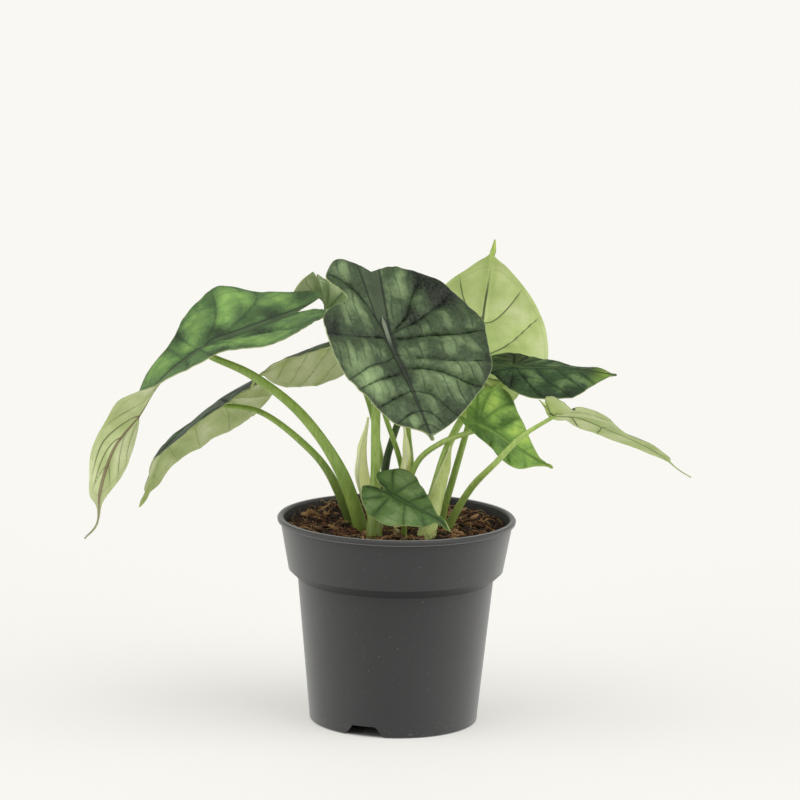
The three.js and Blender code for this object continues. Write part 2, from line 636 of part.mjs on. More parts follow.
function soilGeometry() {
  const rings = SOIL_RINGS.map((share) => [share * soilRadius(SOIL_LEVEL), null]);
  rings.push(
    [COLLAR_RADIUS - WALL - GAP, innerCollarBottom + GAP],
    [SHOULDER_RADIUS - WALL - GAP, innerShoulder + GAP],
    [floorRadius - WALL - GAP, FLOOR_HEIGHT + GAP],
  );
  const positions = [0, 0, soilHeight(0, 0)];
  rings.forEach(([radius, level]) => {
    for (let k = 0; k < SOIL_SEGMENTS; k += 1) {
      const turn = (2 * Math.PI * k) / SOIL_SEGMENTS;
      const z = level ?? soilHeight(radius * Math.cos(turn), radius * Math.sin(turn));
      const reach = radius >= soilRadius(SOIL_LEVEL) ? soilRadius(z) : radius;
      positions.push(reach * Math.cos(turn), reach * Math.sin(turn), z);
    }
  });
  positions.push(0, 0, FLOOR_HEIGHT + GAP);
  const bottom = positions.length / 3 - 1;
  const triangles = [];
  for (let k = 0; k < SOIL_SEGMENTS; k += 1) {
    const next = (k + 1) % SOIL_SEGMENTS;
    triangles.push(0, 1 + k, 1 + next);
    for (let r = 0; r < rings.length - 1; r += 1) {
      const a = 1 + r * SOIL_SEGMENTS + k;
      const b = 1 + r * SOIL_SEGMENTS + next;
      triangles.push(a, a + SOIL_SEGMENTS, b + SOIL_SEGMENTS, a, b + SOIL_SEGMENTS, b);
    }
    const last = bottom - SOIL_SEGMENTS;
    triangles.push(bottom, last + next, last + k);
  }
  let soil = toManifold(closedGeometry(positions, triangles));
  leaves.forEach((leaf) => {
    soil = soil.subtract(toManifold(petioleGeometry(leaf, GAP)));
  });
  soil = soil.subtract(toManifold(spearGeometry(GAP)));
  sheaths.forEach((sheath) => {
    soil = soil.subtract(toManifold(sheathGeometry(sheath, SHEATH_GAP)));
  });
  return fromManifold(soil);
}
addPiece('soil', soilGeometry(), COIR);

export default group;
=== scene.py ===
# Potted dragon scale alocasia. Leaves, stalks, sheaths, soil and pot are modelled in
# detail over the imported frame. Lengths are in millimetres until mm turns them to metres.
import math
import random

import bpy
import numpy as np
from mathutils import Euler, Matrix, Vector, noise


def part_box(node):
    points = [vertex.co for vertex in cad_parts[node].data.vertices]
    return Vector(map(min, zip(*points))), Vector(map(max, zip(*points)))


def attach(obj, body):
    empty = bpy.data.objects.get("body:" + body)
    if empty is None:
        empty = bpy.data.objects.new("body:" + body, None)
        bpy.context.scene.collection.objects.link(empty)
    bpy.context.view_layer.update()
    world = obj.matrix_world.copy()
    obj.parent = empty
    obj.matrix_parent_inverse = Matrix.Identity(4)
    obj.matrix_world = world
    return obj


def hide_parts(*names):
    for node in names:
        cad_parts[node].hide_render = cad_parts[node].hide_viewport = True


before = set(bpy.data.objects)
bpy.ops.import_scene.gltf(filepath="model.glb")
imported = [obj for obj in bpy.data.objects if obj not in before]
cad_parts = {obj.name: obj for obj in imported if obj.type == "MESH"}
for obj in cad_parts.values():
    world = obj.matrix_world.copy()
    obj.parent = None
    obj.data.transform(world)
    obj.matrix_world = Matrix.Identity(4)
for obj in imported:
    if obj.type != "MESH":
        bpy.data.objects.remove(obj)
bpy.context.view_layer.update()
mm = 0.001
print("frame loaded:", len(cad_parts), "nodes")


# Selection and mesh helpers

def selectOnly(obj):
    if bpy.context.mode != "OBJECT":
        bpy.ops.object.mode_set(mode="OBJECT")
    bpy.ops.object.select_all(action="DESELECT")
    obj.select_set(True)
    bpy.context.view_layer.objects.active = obj


def named(name):
    made = bpy.context.object
    made.name = name
    made.data.name = name
    selectOnly(made)
    return made


def applyModifiers(obj):
    selectOnly(obj)
    for modifier in list(obj.modifiers):
        bpy.ops.object.modifier_apply(modifier=modifier.name)


def editAll(obj, *steps):
    # runs edit-mode operators on the whole mesh
    selectOnly(obj)
    bpy.ops.object.mode_set(mode="EDIT")
    bpy.ops.mesh.select_all(action="SELECT")
    for step in steps:
        step()
    bpy.ops.object.mode_set(mode="OBJECT")


def smooth(obj, degrees=50):
    selectOnly(obj)
    bpy.ops.object.shade_smooth_by_angle(angle=math.radians(degrees))


def vertexPlaces(obj):
    places = np.zeros(len(obj.data.vertices) * 3)
    obj.data.vertices.foreach_get("co", places)
    return places.reshape(-1, 3)


def moveVertices(obj, places):
    obj.data.vertices.foreach_set("co", np.asarray(places, np.float32).ravel())
    obj.data.update()


def writeAttribute(obj, name, values):
    layer = obj.data.attributes.new(name, "FLOAT", "POINT")
    layer.data.foreach_set("value", np.asarray(values, np.float32))


def joinPieces(pieces, name):
    bpy.ops.object.select_all(action="DESELECT")
    for piece in pieces:
        piece.select_set(True)
    bpy.context.view_layer.objects.active = pieces[0]
    bpy.ops.object.join()
    return named(name)


def finishPiece(obj, slotName, *nodes):
    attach(obj, "root")
    if nodes:
        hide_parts(*nodes)


# Curves and easing, worked on whole arrays of shares at once

def splineAt(points, t):
    # Catmull-Rom through points, evenly spaced in t from 0 to 1
    p = np.array(points, float)
    p = np.vstack([2 * p[0] - p[1], p, 2 * p[-1] - p[-2]])
    place = np.clip(t, 0, 1) * (len(points) - 1)
    i = np.minimum(place.astype(int), len(points) - 2)
    w = (place - i)[..., None]
    before, a, b, after = p[i], p[i + 1], p[i + 2], p[i + 3]
    slopeA = (b - before) / 2
    slopeB = (after - a) / 2
    rise = w * w * (3 - 2 * w)
    return a + (b - a) * rise + slopeA * w * (1 - w) ** 2 - slopeB * w * w * (1 - w)


def curveLength(points):
    line = splineAt(points, np.linspace(0, 1, 201))
    return np.concatenate([[0], np.cumsum(np.linalg.norm(np.diff(line, axis=0), axis=1))])


def evenly(points, share):
    # t at each share of the curve's length
    run = curveLength(points)
    return np.interp(share * run[-1], run, np.linspace(0, 1, 201))


def unit(vectors):
    return vectors / np.linalg.norm(vectors, axis=-1, keepdims=True)


def tangentAt(points, t):
    step = 0.0001
    return unit(splineAt(points, np.minimum(t + step, 1)) - splineAt(points, np.maximum(t - step, 0)))


def ease(x, low=0.0, high=1.0):
    x = np.clip((x - low) / (high - low), 0, 1)
    return x * x * (3 - 2 * x)


def along(values, share):
    # a list read at a share of its length, eased between entries
    values = np.array(values, float)
    place = np.clip(share, 0, 1) * (len(values) - 1)
    i = np.minimum(place.astype(int), max(len(values) - 2, 0))
    following = values[np.minimum(i + 1, len(values) - 1)]
    return values[i] + (following - values[i]) * ease(place - i)


# Node helpers

def startMaterial(name):
    mat = bpy.data.materials.new(name)
    mat.use_nodes = True
    return mat, mat.node_tree, mat.node_tree.nodes["Principled BSDF"]


def addNode(tree, kind, settings=None, inputs=None):
    made = tree.nodes.new(kind)
    for key, value in (settings or {}).items():
        setattr(made, key, value)
    for key, value in (inputs or {}).items():
        if isinstance(value, bpy.types.NodeSocket):
            tree.links.new(value, made.inputs[key])
        else:
            made.inputs[key].default_value = value
    return made


def sums(tree, operation, a, b=0.0):
    return addNode(tree, "ShaderNodeMath", {"operation": operation}, {0: a, 1: b}).outputs[0]


def span(tree, value, low, high, start=0.0, end=1.0):
    # value from low to high, eased, as start to end
    inputs = {"Value": value, "From Min": low, "From Max": high, "To Min": start, "To Max": end}
    return addNode(tree, "ShaderNodeMapRange", {"interpolation_type": "SMOOTHSTEP"}, inputs).outputs[0]


def blendColours(tree, share, first, second):
    made = addNode(tree, "ShaderNodeMix", {"data_type": "RGBA"}, {0: share, 6: first, 7: second})
    return made.outputs[2]


def ramp(tree, value, stops):
    made = addNode(tree, "ShaderNodeValToRGB", None, {0: value})
    elements = made.color_ramp.elements
    while len(elements) < len(stops):
        elements.new(0.5)
    for element, (position, colour) in zip(elements, stops):
        element.position = position
        element.color = colour
    return made.outputs[0]


def noiseAt(tree, place, scale, detail=3.0, roughness=0.5, distortion=0.0):
    inputs = {"Vector": place, "Scale": scale, "Detail": detail, "Roughness": roughness, "Distortion": distortion}
    return addNode(tree, "ShaderNodeTexNoise", None, inputs).outputs["Fac"]


def netAt(tree, place, scale, randomness=1.0):
    # distance to the walls of a net of cells
    inputs = {"Vector": place, "Scale": scale, "Randomness": randomness}
    return addNode(tree, "ShaderNodeTexVoronoi", {"feature": "DISTANCE_TO_EDGE"}, inputs).outputs["Distance"]


def objectPlace(tree):
    return addNode(tree, "ShaderNodeTexCoord").outputs["Object"]


def readAttribute(tree, name):
    return addNode(tree, "ShaderNodeAttribute", {"attribute_name": name}).outputs["Fac"]


def addBump(tree, shader, height, strength, depth):
    inputs = {"Height": height, "Strength": strength, "Distance": depth * mm}
    made = addNode(tree, "ShaderNodeBump", None, inputs)
    tree.links.new(made.outputs[0], shader.inputs["Normal"])


def rgb(r, g, b):
    # screen colour, 0 to 255, as a linear one
    def linear(c):
        c /= 255
        return c / 12.92 if c <= 0.04045 else ((c + 0.055) / 1.055) ** 2.4
    return (linear(r), linear(g), linear(b), 1.0)


# Leaf materials

# pillow, creases and cells: how much painted light and shade the relief gets
topLooks = {
    "dark": {
        "shade": rgb(13, 20, 11), "body": rgb(58, 75, 48), "glow": rgb(138, 160, 112),
        "vein": rgb(17, 25, 16), "flat": rgb(62, 74, 54), "rib": rgb(116, 126, 106),
        "margin": rgb(132, 144, 106), "tip": rgb(80, 96, 64), "tipFrom": 0.9, "ribEnd": 0.12, "ribFrom": 0.36,
        "base": 0.35, "pillow": 0.1, "clouds": 0.3, "veins": 0.6, "veinWidth": 1, "creases": 0.22, "cells": 0.08,
        "roughness": 0.4,
    },
    "bright": {
        "shade": rgb(34, 50, 30), "body": rgb(75, 104, 59), "glow": rgb(130, 168, 88),
        "vein": rgb(40, 52, 36), "flat": rgb(70, 86, 58), "rib": rgb(84, 98, 70),
        "margin": rgb(110, 128, 80), "tip": rgb(96, 118, 70), "tipFrom": 0.9, "ribEnd": 0.6, "ribFrom": 0.6,
        "base": 0.36, "pillow": 0.12, "clouds": 0.35, "veins": 0.35, "veinWidth": 1.4, "creases": 0.15, "cells": 0.06,
        "roughness": 0.42,
    },
    "deep": {
        "shade": rgb(18, 34, 14), "body": rgb(44, 70, 34), "glow": rgb(104, 128, 78),
        "vein": rgb(22, 38, 18), "flat": rgb(56, 78, 44), "rib": rgb(60, 82, 44),
        "margin": rgb(84, 106, 56), "tip": rgb(128, 158, 60), "tipFrom": 0.76, "ribEnd": 0.6, "ribFrom": 0.6,
        "base": 0.25, "pillow": 0.15, "clouds": 0.5, "veins": 0.5, "veinWidth": 1.1, "creases": 0.35, "cells": 0.1,
        "roughness": 0.36,
    },
    "small": {
        "shade": rgb(40, 62, 30), "body": rgb(80, 108, 58), "glow": rgb(128, 146, 98),
        "vein": rgb(36, 56, 28), "flat": rgb(84, 106, 60), "rib": rgb(70, 94, 50),
        "margin": rgb(104, 128, 66), "tip": rgb(150, 170, 80), "tipFrom": 0.86, "ribEnd": 0.4, "ribFrom": 0.6,
        "base": 0.35, "pillow": 0.3, "clouds": 0.4, "veins": 0.4, "veinWidth": 1, "creases": 0.2, "cells": 0.08,
        "roughness": 0.42,
    },
    "young": {
        "shade": rgb(80, 112, 54), "body": rgb(128, 166, 82), "glow": rgb(196, 222, 108),
        "vein": rgb(88, 126, 54), "flat": rgb(110, 144, 66), "rib": rgb(122, 150, 80),
        "margin": rgb(150, 174, 90), "tip": rgb(180, 196, 80), "tipFrom": 0.84, "ribEnd": 0.7, "ribFrom": 0.6,
        "base": 0.3, "pillow": 0.2, "clouds": 0.4, "veins": 0.35, "veinWidth": 1, "creases": 0.2, "cells": 0.08,
        "roughness": 0.4,
    },
}


def leafFacts(tree):
    # what the leaf formula leaves on each vertex: distances in millimetres, and shares
    names = ["pillow", "ribShare", "basalGap", "edgeGap", "tipward", "glow", "rung"]
    facts = {name: readAttribute(tree, name) for name in names}
    # the turn from one vein to the next is kept as sine and cosine, so that thin veins stay sharp
    turn = sums(tree, "ARCTAN2", readAttribute(tree, "veinSine"), readAttribute(tree, "veinCosine"))
    share = sums(tree, "MULTIPLY", sums(tree, "ABSOLUTE", turn), 0.5 / math.pi)
    facts["veinGap"] = sums(tree, "MULTIPLY", share, readAttribute(tree, "veinRoom"))
    return facts


def leafTop(name, look):
    mat, tree, shader = startMaterial(name)
    place = objectPlace(tree)
    facts = leafFacts(tree)
    clouds = noiseAt(tree, place, 75, 3, 0.5, 0.6)
    grain = noiseAt(tree, place, 420, 4, 0.65)
    net = netAt(tree, place, 380)
    crease = span(tree, sums(tree, "ABSOLUTE", facts["rung"]), 0, 0.5, 1, 0)
    crease = sums(tree, "MULTIPLY", crease, span(tree, facts["pillow"], 0.2, 0.8))
    crease = sums(tree, "MULTIPLY", crease, span(tree, clouds, 0.4, 0.6, 0.2, 1))

    # painted light and shade: lighter on the pillows between the veins, darker along the veins, darker in the creases
    # on the pillows, lighter and darker by turns from cell to cell, darker within 5 mm of the margin, with the
    # painted patches of the glow attribute added
    light = sums(tree, "ADD", facts["glow"], look["base"])
    light = sums(tree, "ADD", light, span(tree, facts["pillow"], 0.1, 0.9, 0, look["pillow"]))
    light = sums(tree, "ADD", light, span(tree, clouds, 0.3, 0.7, -look["clouds"] / 2, look["clouds"] / 2))
    light = sums(tree, "ADD", light, span(tree, grain, 0.3, 0.7, -0.06, 0.06))
    light = sums(tree, "SUBTRACT", light, span(tree, facts["edgeGap"], 0, 5, 0.12, 0))
    light = sums(tree, "SUBTRACT", light, sums(tree, "MULTIPLY", crease, look["creases"]))
    cells = sums(tree, "MULTIPLY", facts["rung"], sums(tree, "MULTIPLY", facts["pillow"], look["cells"]))
    light = sums(tree, "ADD", light, cells)
    colour = ramp(tree, light, [(0, look["shade"]), (0.42, look["body"]), (1, look["glow"])])
    colour = blendColours(tree, span(tree, net, 0, 0.2, 0.06, 0), colour, look["glow"])
    inV = span(tree, facts["basalGap"], -1.2, 0.2, 0.7, 0)
    colour = blendColours(tree, inV, colour, look["flat"])
    vein = span(tree, facts["veinGap"], 0.1, look["veinWidth"], look["veins"], 0)
    colour = blendColours(tree, vein, colour, look["vein"])
    colour = blendColours(tree, span(tree, facts["tipward"], look["tipFrom"], 1, 0, 0.9), colour, look["tip"])
    line = sums(tree, "ABSOLUTE", facts["basalGap"])
    colour = blendColours(tree, span(tree, line, 0.25, 0.8, 0.8, 0), colour, look["vein"])
    colour = blendColours(tree, span(tree, facts["ribShare"], 1.0, 2.6, 0.85, 0), colour, look["vein"])
    ribLine = span(tree, facts["ribShare"], 0.55, 1.0, 0.9, 0)
    ribLine = sums(tree, "MULTIPLY", ribLine, span(tree, facts["tipward"], look["ribFrom"], look["ribFrom"] + 0.1, 1, look["ribEnd"]))
    colour = blendColours(tree, ribLine, colour, look["rib"])
    colour = blendColours(tree, span(tree, facts["edgeGap"], 0.1, 0.5, 0.8, 0), colour, look["margin"])
    tree.links.new(colour, shader.inputs["Base Color"])

    gloss = span(tree, grain, 0.2, 0.8, look["roughness"] - 0.06, look["roughness"] + 0.08)
    tree.links.new(gloss, shader.inputs["Roughness"])
    shader.inputs["Specular IOR Level"].default_value = 0.2
    height = sums(tree, "ADD", span(tree, net, 0, 0.3, 0, 0.5), sums(tree, "MULTIPLY", grain, 0.5))
    height = sums(tree, "ADD", height, span(tree, facts["veinGap"], 0, 0.7, 0, 1.0))
    height = sums(tree, "SUBTRACT", height, sums(tree, "MULTIPLY", crease, 0.8))
    addBump(tree, shader, height, 0.5, 0.35)
    return mat


underLooks = {
    "veined": {
        "body": rgb(184, 200, 128), "shade": rgb(160, 182, 104), "bloom": rgb(204, 214, 160),
        "vein": rgb(70, 78, 34), "rib": rgb(46, 46, 20), "veinShare": 0.85, "ribFade": 0.62,
        "edgeLine": rgb(160, 170, 112), "tip": rgb(180, 206, 90),
    },
    "bloomed": {
        "body": rgb(186, 200, 138), "shade": rgb(158, 176, 106), "bloom": rgb(216, 222, 180),
        "vein": rgb(138, 152, 90), "rib": rgb(130, 142, 80), "veinShare": 0.55, "ribFade": 0.9,
        "edgeLine": rgb(160, 168, 118), "tip": rgb(170, 186, 110),
    },
    "curled": {
        "body": rgb(146, 164, 114), "shade": rgb(98, 122, 74), "bloom": rgb(196, 208, 164),
        "vein": rgb(92, 110, 66), "rib": rgb(196, 206, 158), "veinShare": 0.6, "ribFade": 0.9,
        "edgeLine": rgb(206, 214, 176), "tip": rgb(160, 176, 110),
    },
    "tipped": {
        "body": rgb(190, 202, 146), "shade": rgb(162, 176, 114), "bloom": rgb(216, 222, 178),
        "vein": rgb(84, 82, 48), "rib": rgb(92, 60, 38), "veinShare": 0.75, "ribFade": 0.9,
        "edgeLine": rgb(156, 150, 108), "tip": rgb(140, 136, 108),
    },
}


def leafUnder(name, look):
    mat, tree, shader = startMaterial(name)
    place = objectPlace(tree)
    facts = leafFacts(tree)
    veinGap, edgeGap, tipward = facts["veinGap"], facts["edgeGap"], facts["tipward"]
    basalGap = sums(tree, "ABSOLUTE", facts["basalGap"])
    clouds = noiseAt(tree, place, 60, 3, 0.5)
    grain = noiseAt(tree, place, 600, 4, 0.6)
    net = netAt(tree, place, 480)

    # painted light and shade: a little lighter on the pillows, darker between them, plus the painted patches of the
    # glow attribute
    light = sums(tree, "ADD", clouds, span(tree, facts["pillow"], 0, 1, -0.04, 0.06))
    light = sums(tree, "ADD", light, sums(tree, "MULTIPLY", facts["glow"], 0.4))
    colour = ramp(tree, light, [(0.3, look["shade"]), (0.52, look["body"]), (0.75, look["bloom"])])
    colour = blendColours(tree, span(tree, net, 0, 0.12, 0.14, 0), colour, look["shade"])
    submargin = sums(tree, "ABSOLUTE", sums(tree, "SUBTRACT", edgeGap, 1.6))
    line = span(tree, submargin, 0.05, 0.25, 0.45, 0)
    colour = blendColours(tree, line, colour, look["edgeLine"])
    thin = span(tree, veinGap, 0.15, 0.5, look["veinShare"], 0)
    thin = sums(tree, "MULTIPLY", thin, span(tree, edgeGap, 0.5, 4.0, 0, 1))
    colour = blendColours(tree, thin, colour, look["vein"])
    colour = blendColours(tree, span(tree, basalGap, 0.15, 0.4, look["veinShare"], 0), colour, look["vein"])
    ribLine = span(tree, facts["ribShare"], 0.5, 0.9, look["veinShare"], 0)
    ribLine = sums(tree, "MULTIPLY", ribLine, span(tree, tipward, look["ribFade"], look["ribFade"] + 0.2, 1, 0))
    colour = blendColours(tree, ribLine, colour, look["rib"])
    colour = blendColours(tree, span(tree, tipward, 0.8, 1, 0, 0.9), colour, look["tip"])
    tree.links.new(colour, shader.inputs["Base Color"])
    gloss = span(tree, grain, 0.2, 0.8, 0.48, 0.62)
    tree.links.new(gloss, shader.inputs["Roughness"])
    height = sums(tree, "ADD", span(tree, veinGap, 0, 0.6, 1, 0), span(tree, net, 0, 0.2, 0.3, 0))
    height = sums(tree, "ADD", height, sums(tree, "MULTIPLY", grain, 0.3))
    addBump(tree, shader, height, 0.4, 0.3)
    return mat


def leafMargin():
    mat, tree, shader = startMaterial("leafMargin")
    place = objectPlace(tree)
    worn = noiseAt(tree, place, 300, 3)
    colour = ramp(tree, worn, [(0.3, rgb(120, 134, 80)), (0.6, rgb(166, 176, 120)), (0.8, rgb(120, 106, 72))])
    tree.links.new(colour, shader.inputs["Base Color"])
    shader.inputs["Roughness"].default_value = 0.5
    return mat


leafTops = {key: leafTop("leafTop" + key.title(), look) for key, look in topLooks.items()}
leafUnders = {key: leafUnder("leafUnder" + key.title(), look) for key, look in underLooks.items()}
marginFinish = leafMargin()
print("leaf materials made")


# The leaf formula: set out flat in shares of length and half width, then bent to its rib

noise.seed_set(8)  # so that the leaves come out the same each time
marginSteps = 10  # lateral veins on each half
breadthPlaces = [0.12, 0.27, 0.42, 0.58, 0.73, 0.86, 0.95]
wavePhase = {"left": 0.0, "right": 0.4}
bladeThickness = 0.5
midribDepth = 0.6
seatDepth = 0.95  # from the blade's middle to the stalk's end, less its gap
stalkGap = 0.3
stemBottom = 84
ovate = [0.3, 0.56, 0.8, 0.95, 1, 0.9, 0.7, 0.43, 0.19]

leafDefaults = {
    "fold": {"left": [0], "right": [0]},
    "breadth": {"left": ovate, "right": ovate},
    "wave": 0.9, "waves": 4, "lobe": {"left": 0.04, "right": 0.04}, "tail": 0.03, "tailWidth": 0.04, "bow": 0.2,
    "nicks": [], "turn": 4,
    # veins: degrees behind the first lateral, then share of the midrib and lean of each lateral
    "fan": {"left": [66, 36], "right": [66, 36]},
    "laterals": [[0, 0.3], [0.2, 0.4], [0.4, 0.55], [0.6, 0.75], [0.78, 0.95], [0.92, 1.1]],
    "bend": 0.012, "arms": {"left": [2.5, 6], "right": [2.5, 6]}, "wander": 1.2,
    # relief: pillows between veins, creases on them, scales across, puckers all over
    "relief": 0.9, "groove": 0.25, "scales": 0.35, "pucker": 0.3, "scaleLength": 6,
    "ribWidth": [0.9, 0.3], "ribStart": 0.0, "paintedLightAndShade": [], "columns": 64, "rows": 120,
    "top": "dark", "under": "bloomed", "slot": "leaf_dark", "stalk": "green",
}


def marginLine(leaf, half):
    body = 1 - leaf["tail"]
    lobe = leaf["lobe"][half]
    places = [-lobe, -0.45 * lobe] + [body * share for share in breadthPlaces]
    outline = [[x, y] for x, y in zip(places, leaf["breadth"][half])]
    return outline + [[body, leaf["tailWidth"]], [1, 0.004]]


def veinStarts(leaf):
    seat = leaf["seat"]
    ahead = 1 - leaf["tail"] - seat
    basal = [share * seat for share in [0, 0.14, 0.36, 0.66, 1]]
    forward = [seat + share * ahead for share in [0.2, 0.42, 0.64, 0.82, 0.94]]
    return basal + forward + [1]


def ribFrame(leaf, u):
    share = np.clip(u, 0, 1)
    t = evenly(leaf["rib"], share)
    ahead = tangentAt(leaf["rib"], t)
    face = splineAt(leaf["face"], share)
    face = unit(face - ahead * (face * ahead).sum(-1, keepdims=True))
    length = curveLength(leaf["rib"])[-1]
    point = splineAt(leaf["rib"], t) + ahead * ((u - share) * length)[..., None]
    return point, face, np.cross(face, ahead)


def veinLines(leaf, half):
    # start in millimetres ahead of the seat, lean and bend of each vein, from the notch to the tip
    if "veins" in leaf:
        return leaf["veins"][half]
    ahead = (1 - leaf["seat"]) * curveLength(leaf["rib"])[-1]
    lean = math.atan(leaf["laterals"][0][1])
    basal = [[0, math.tan(lean - math.radians(turn)), 0.004] for turn in leaf["fan"][half]]
    return basal + [[share * ahead, slope, leaf["bend"]] for share, slope in leaf["laterals"]]


def veinField(leaf, half, x, y):
    # x from the midrib and y ahead of the seat: which band between veins, and where in it
    lines = veinLines(leaf, half)
    start, slope, bend = np.array(lines).T
    across = x[:, None]
    heights = start + slope * across + bend * across ** 2
    tilt = 1 / np.sqrt(1 + (slope + 2 * bend * across) ** 2)
    band = (heights < y[:, None]).sum(axis=1)
    rows = np.arange(len(x))
    count = len(lines)
    lower = np.clip(band - 1, 0, count - 1)
    upper = np.clip(band, 0, count - 1)
    behind = np.abs(y - heights[rows, lower]) * tilt[rows, lower]
    before = np.abs(heights[rows, upper] - y) * tilt[rows, upper]
    width = behind + before + 0.01
    between = behind / width
    # past the first and the last vein the blade rises from the vein and stays level
    reach = 0.5 * np.minimum(behind / 9, 1)
    between = np.where(band == 0, 1 - reach, np.where(band == count, reach, between))
    width = np.where((band == 0) | (band == count), 18, width)
    return band, between, width


def halfBlade(leaf, v, across, half):
    t = np.abs(across)
    side = -1 if half == "left" else 1
    edge = splineAt(marginLine(leaf, half), v)
    for nick in leaf["nicks"]:
        if nick["half"] == half:
            edge[:, 1] *= 1 - nick["depth"] * np.exp(-(((v - nick["at"]) / nick["span"]) ** 2))
    station = v * marginSteps
    start = np.interp(station, range(marginSteps + 1), veinStarts(leaf))
    bow = leaf["bow"] - (leaf["bow"] + 0.08) * ease(v, 0, 0.4)
    u = start + (edge[:, 0] - start) * (t + bow * np.sin(np.pi * t))
    point, face, right = ribFrame(leaf, u)
    wide = np.maximum(edge[:, 1] * leaf["width"][half], 0.3)
    reach = wide * t
    fold = np.radians(along(leaf["fold"][half], u))
    lift = reach * np.sin(fold)
    lift += leaf["wave"] * np.sin(2 * np.pi * (leaf["waves"] * v + wavePhase[half])) * t * t
    flat = point + right * (side * reach * np.cos(fold))[:, None]

    # the pillows between the veins, with scales across them
    length = curveLength(leaf["rib"])[-1]
    y = (u - leaf["seat"]) * length
    seed = Vector((len(leaf["name"]) * 7.3, leaf["width"]["left"], side))
    slow = np.array([noise.noise_vector(Vector(p) / 17 + seed) for p in flat])
    quick = np.array([noise.noise(Vector(p) / 4 + seed) for p in flat])
    roam = leaf["wander"] * ease(reach, 1, 8)
    band, between, width = veinField(leaf, half, reach + roam * slow[:, 0], y + roam * slow[:, 1])
    body = np.minimum(edge[:, 1] * 1.4, 1) * ease(reach, 0.5, 7) * ease(1 - u, 0.01, 0.12)
    inside = body * (1 - 0.75 * ease(t, 0.82, 1))
    pillow = np.maximum(np.sin(np.pi * between), 0)
    gap = np.minimum(between, 1 - between) * width
    room = np.minimum(width / 11, 1.25)
    lift += leaf["relief"] * room * (1.6 * pillow ** 0.7 - 0.9) * inside
    lift -= leaf["groove"] * np.exp(-((gap / 0.7) ** 2)) * inside
    rung = np.sin(np.pi * reach / leaf["scaleLength"] + 1.9 * band + 2.2 * slow[:, 2])
    lift += leaf["scales"] * (np.abs(rung) ** 0.6 - 0.6) * room * pillow * inside * ease(t, 0.15, 0.5)
    lift += leaf["pucker"] * (quick + slow[:, 2]) * body
    place = flat + face * lift[:, None]

    # the midrib lies in a channel ahead of the seat
    wideRib, thinRib = leaf["ribWidth"]
    from0 = leaf["seat"] - leaf["ribStart"]
    shown = ease(u, from0 - 0.03, from0 + 0.03)
    ribWidth = (wideRib + (thinRib - wideRib) * ease(u, leaf["seat"], 1) ** 0.7) * shown + 0.03
    channel = np.exp(-((reach / (2.2 * ribWidth)) ** 2)) * ease(u, leaf["seat"], leaf["seat"] + 0.08)
    place -= face * (0.5 * channel * ease(1 - u, 0, 0.1))[:, None]

    # the two basal ribs run from the seat into the lobes
    back = -y
    near, far = leaf["arms"][half]
    arm = np.interp(back, [0, 5, leaf["seat"] * length], [0.4, near, far])
    # painted highlights and painted shade, laid on as soft patches
    glow = np.zeros(len(u))
    for gx, gy, size, strength in leaf["paintedLightAndShade"]:
        away = np.hypot(side * reach - gx, y - gy) / size
        glow += strength * np.exp(-away ** 2)
    facts = {
        "pillow": pillow * ease(reach, 1, 6) * np.minimum(width / 7, 1),
        "veinGap": gap,
        "veinSine": np.sin(2 * np.pi * between),
        "veinCosine": np.cos(2 * np.pi * between),
        "veinRoom": width,
        "rung": rung,
        "ribShare": reach / ribWidth,
        "ribGap": reach,
        "edgeGap": wide - reach,
        "basalGap": np.where(back > 0, reach - arm, reach + 2 * np.abs(back)),
        "tipward": u,
        "glow": glow,
    }
    return place, facts


def bladeSurface(leaf, v, across):
    places = np.zeros((len(v), 3))
    facts = {}
    for half, chosen in (("left", across < 0), ("right", across >= 0)):
        found, halfFacts = halfBlade(leaf, v[chosen], across[chosen], half)
        places[chosen] = found
        for key, values in halfFacts.items():
            facts.setdefault(key, np.zeros(len(v)))[chosen] = values
    return places, facts


def buildBlade(leaf):
    name = leaf["name"]
    bpy.ops.mesh.primitive_grid_add(x_subdivisions=leaf["columns"], y_subdivisions=leaf["rows"], size=2)
    blade = named("blade" + name)
    flat = vertexPlaces(blade)
    across = flat[:, 0]
    v = (flat[:, 1] + 1) / 2
    places, facts = bladeSurface(leaf, v, across)
    moveVertices(blade, places * mm)
    editAll(blade, bpy.ops.mesh.flip_normals)
    facing = np.array([vertex.normal for vertex in blade.data.vertices])

    count = len(v)
    blade.data.materials.append(leafTops[leaf["top"]])
    blade.data.materials.append(leafUnders[leaf["under"]])
    blade.data.materials.append(marginFinish)
    solidify = blade.modifiers.new("thickness", "SOLIDIFY")
    solidify.thickness = bladeThickness * mm
    solidify.offset = 0
    solidify.material_offset = 1
    solidify.material_offset_rim = 2
    applyModifiers(blade)
    for key, values in facts.items():
        writeAttribute(blade, key, np.tile(values, 2))

    # the midrib and the veins stand out of the under side
    near = facts["ribGap"]
    keel = midribDepth * np.exp(-((near / 0.8) ** 2)) * ease(facts["edgeGap"], 0, 2)
    keel += 0.22 * np.exp(-((facts["veinGap"] / 0.45) ** 2)) * ease(facts["edgeGap"], 0.5, 6)
    solid = vertexPlaces(blade)
    solid[count:] -= facing * (keel * mm)[:, None]
    moveVertices(blade, solid)
    smooth(blade, 60)
    finishPiece(blade, leaf["slot"], "blade_" + leaf["node"])
    return blade
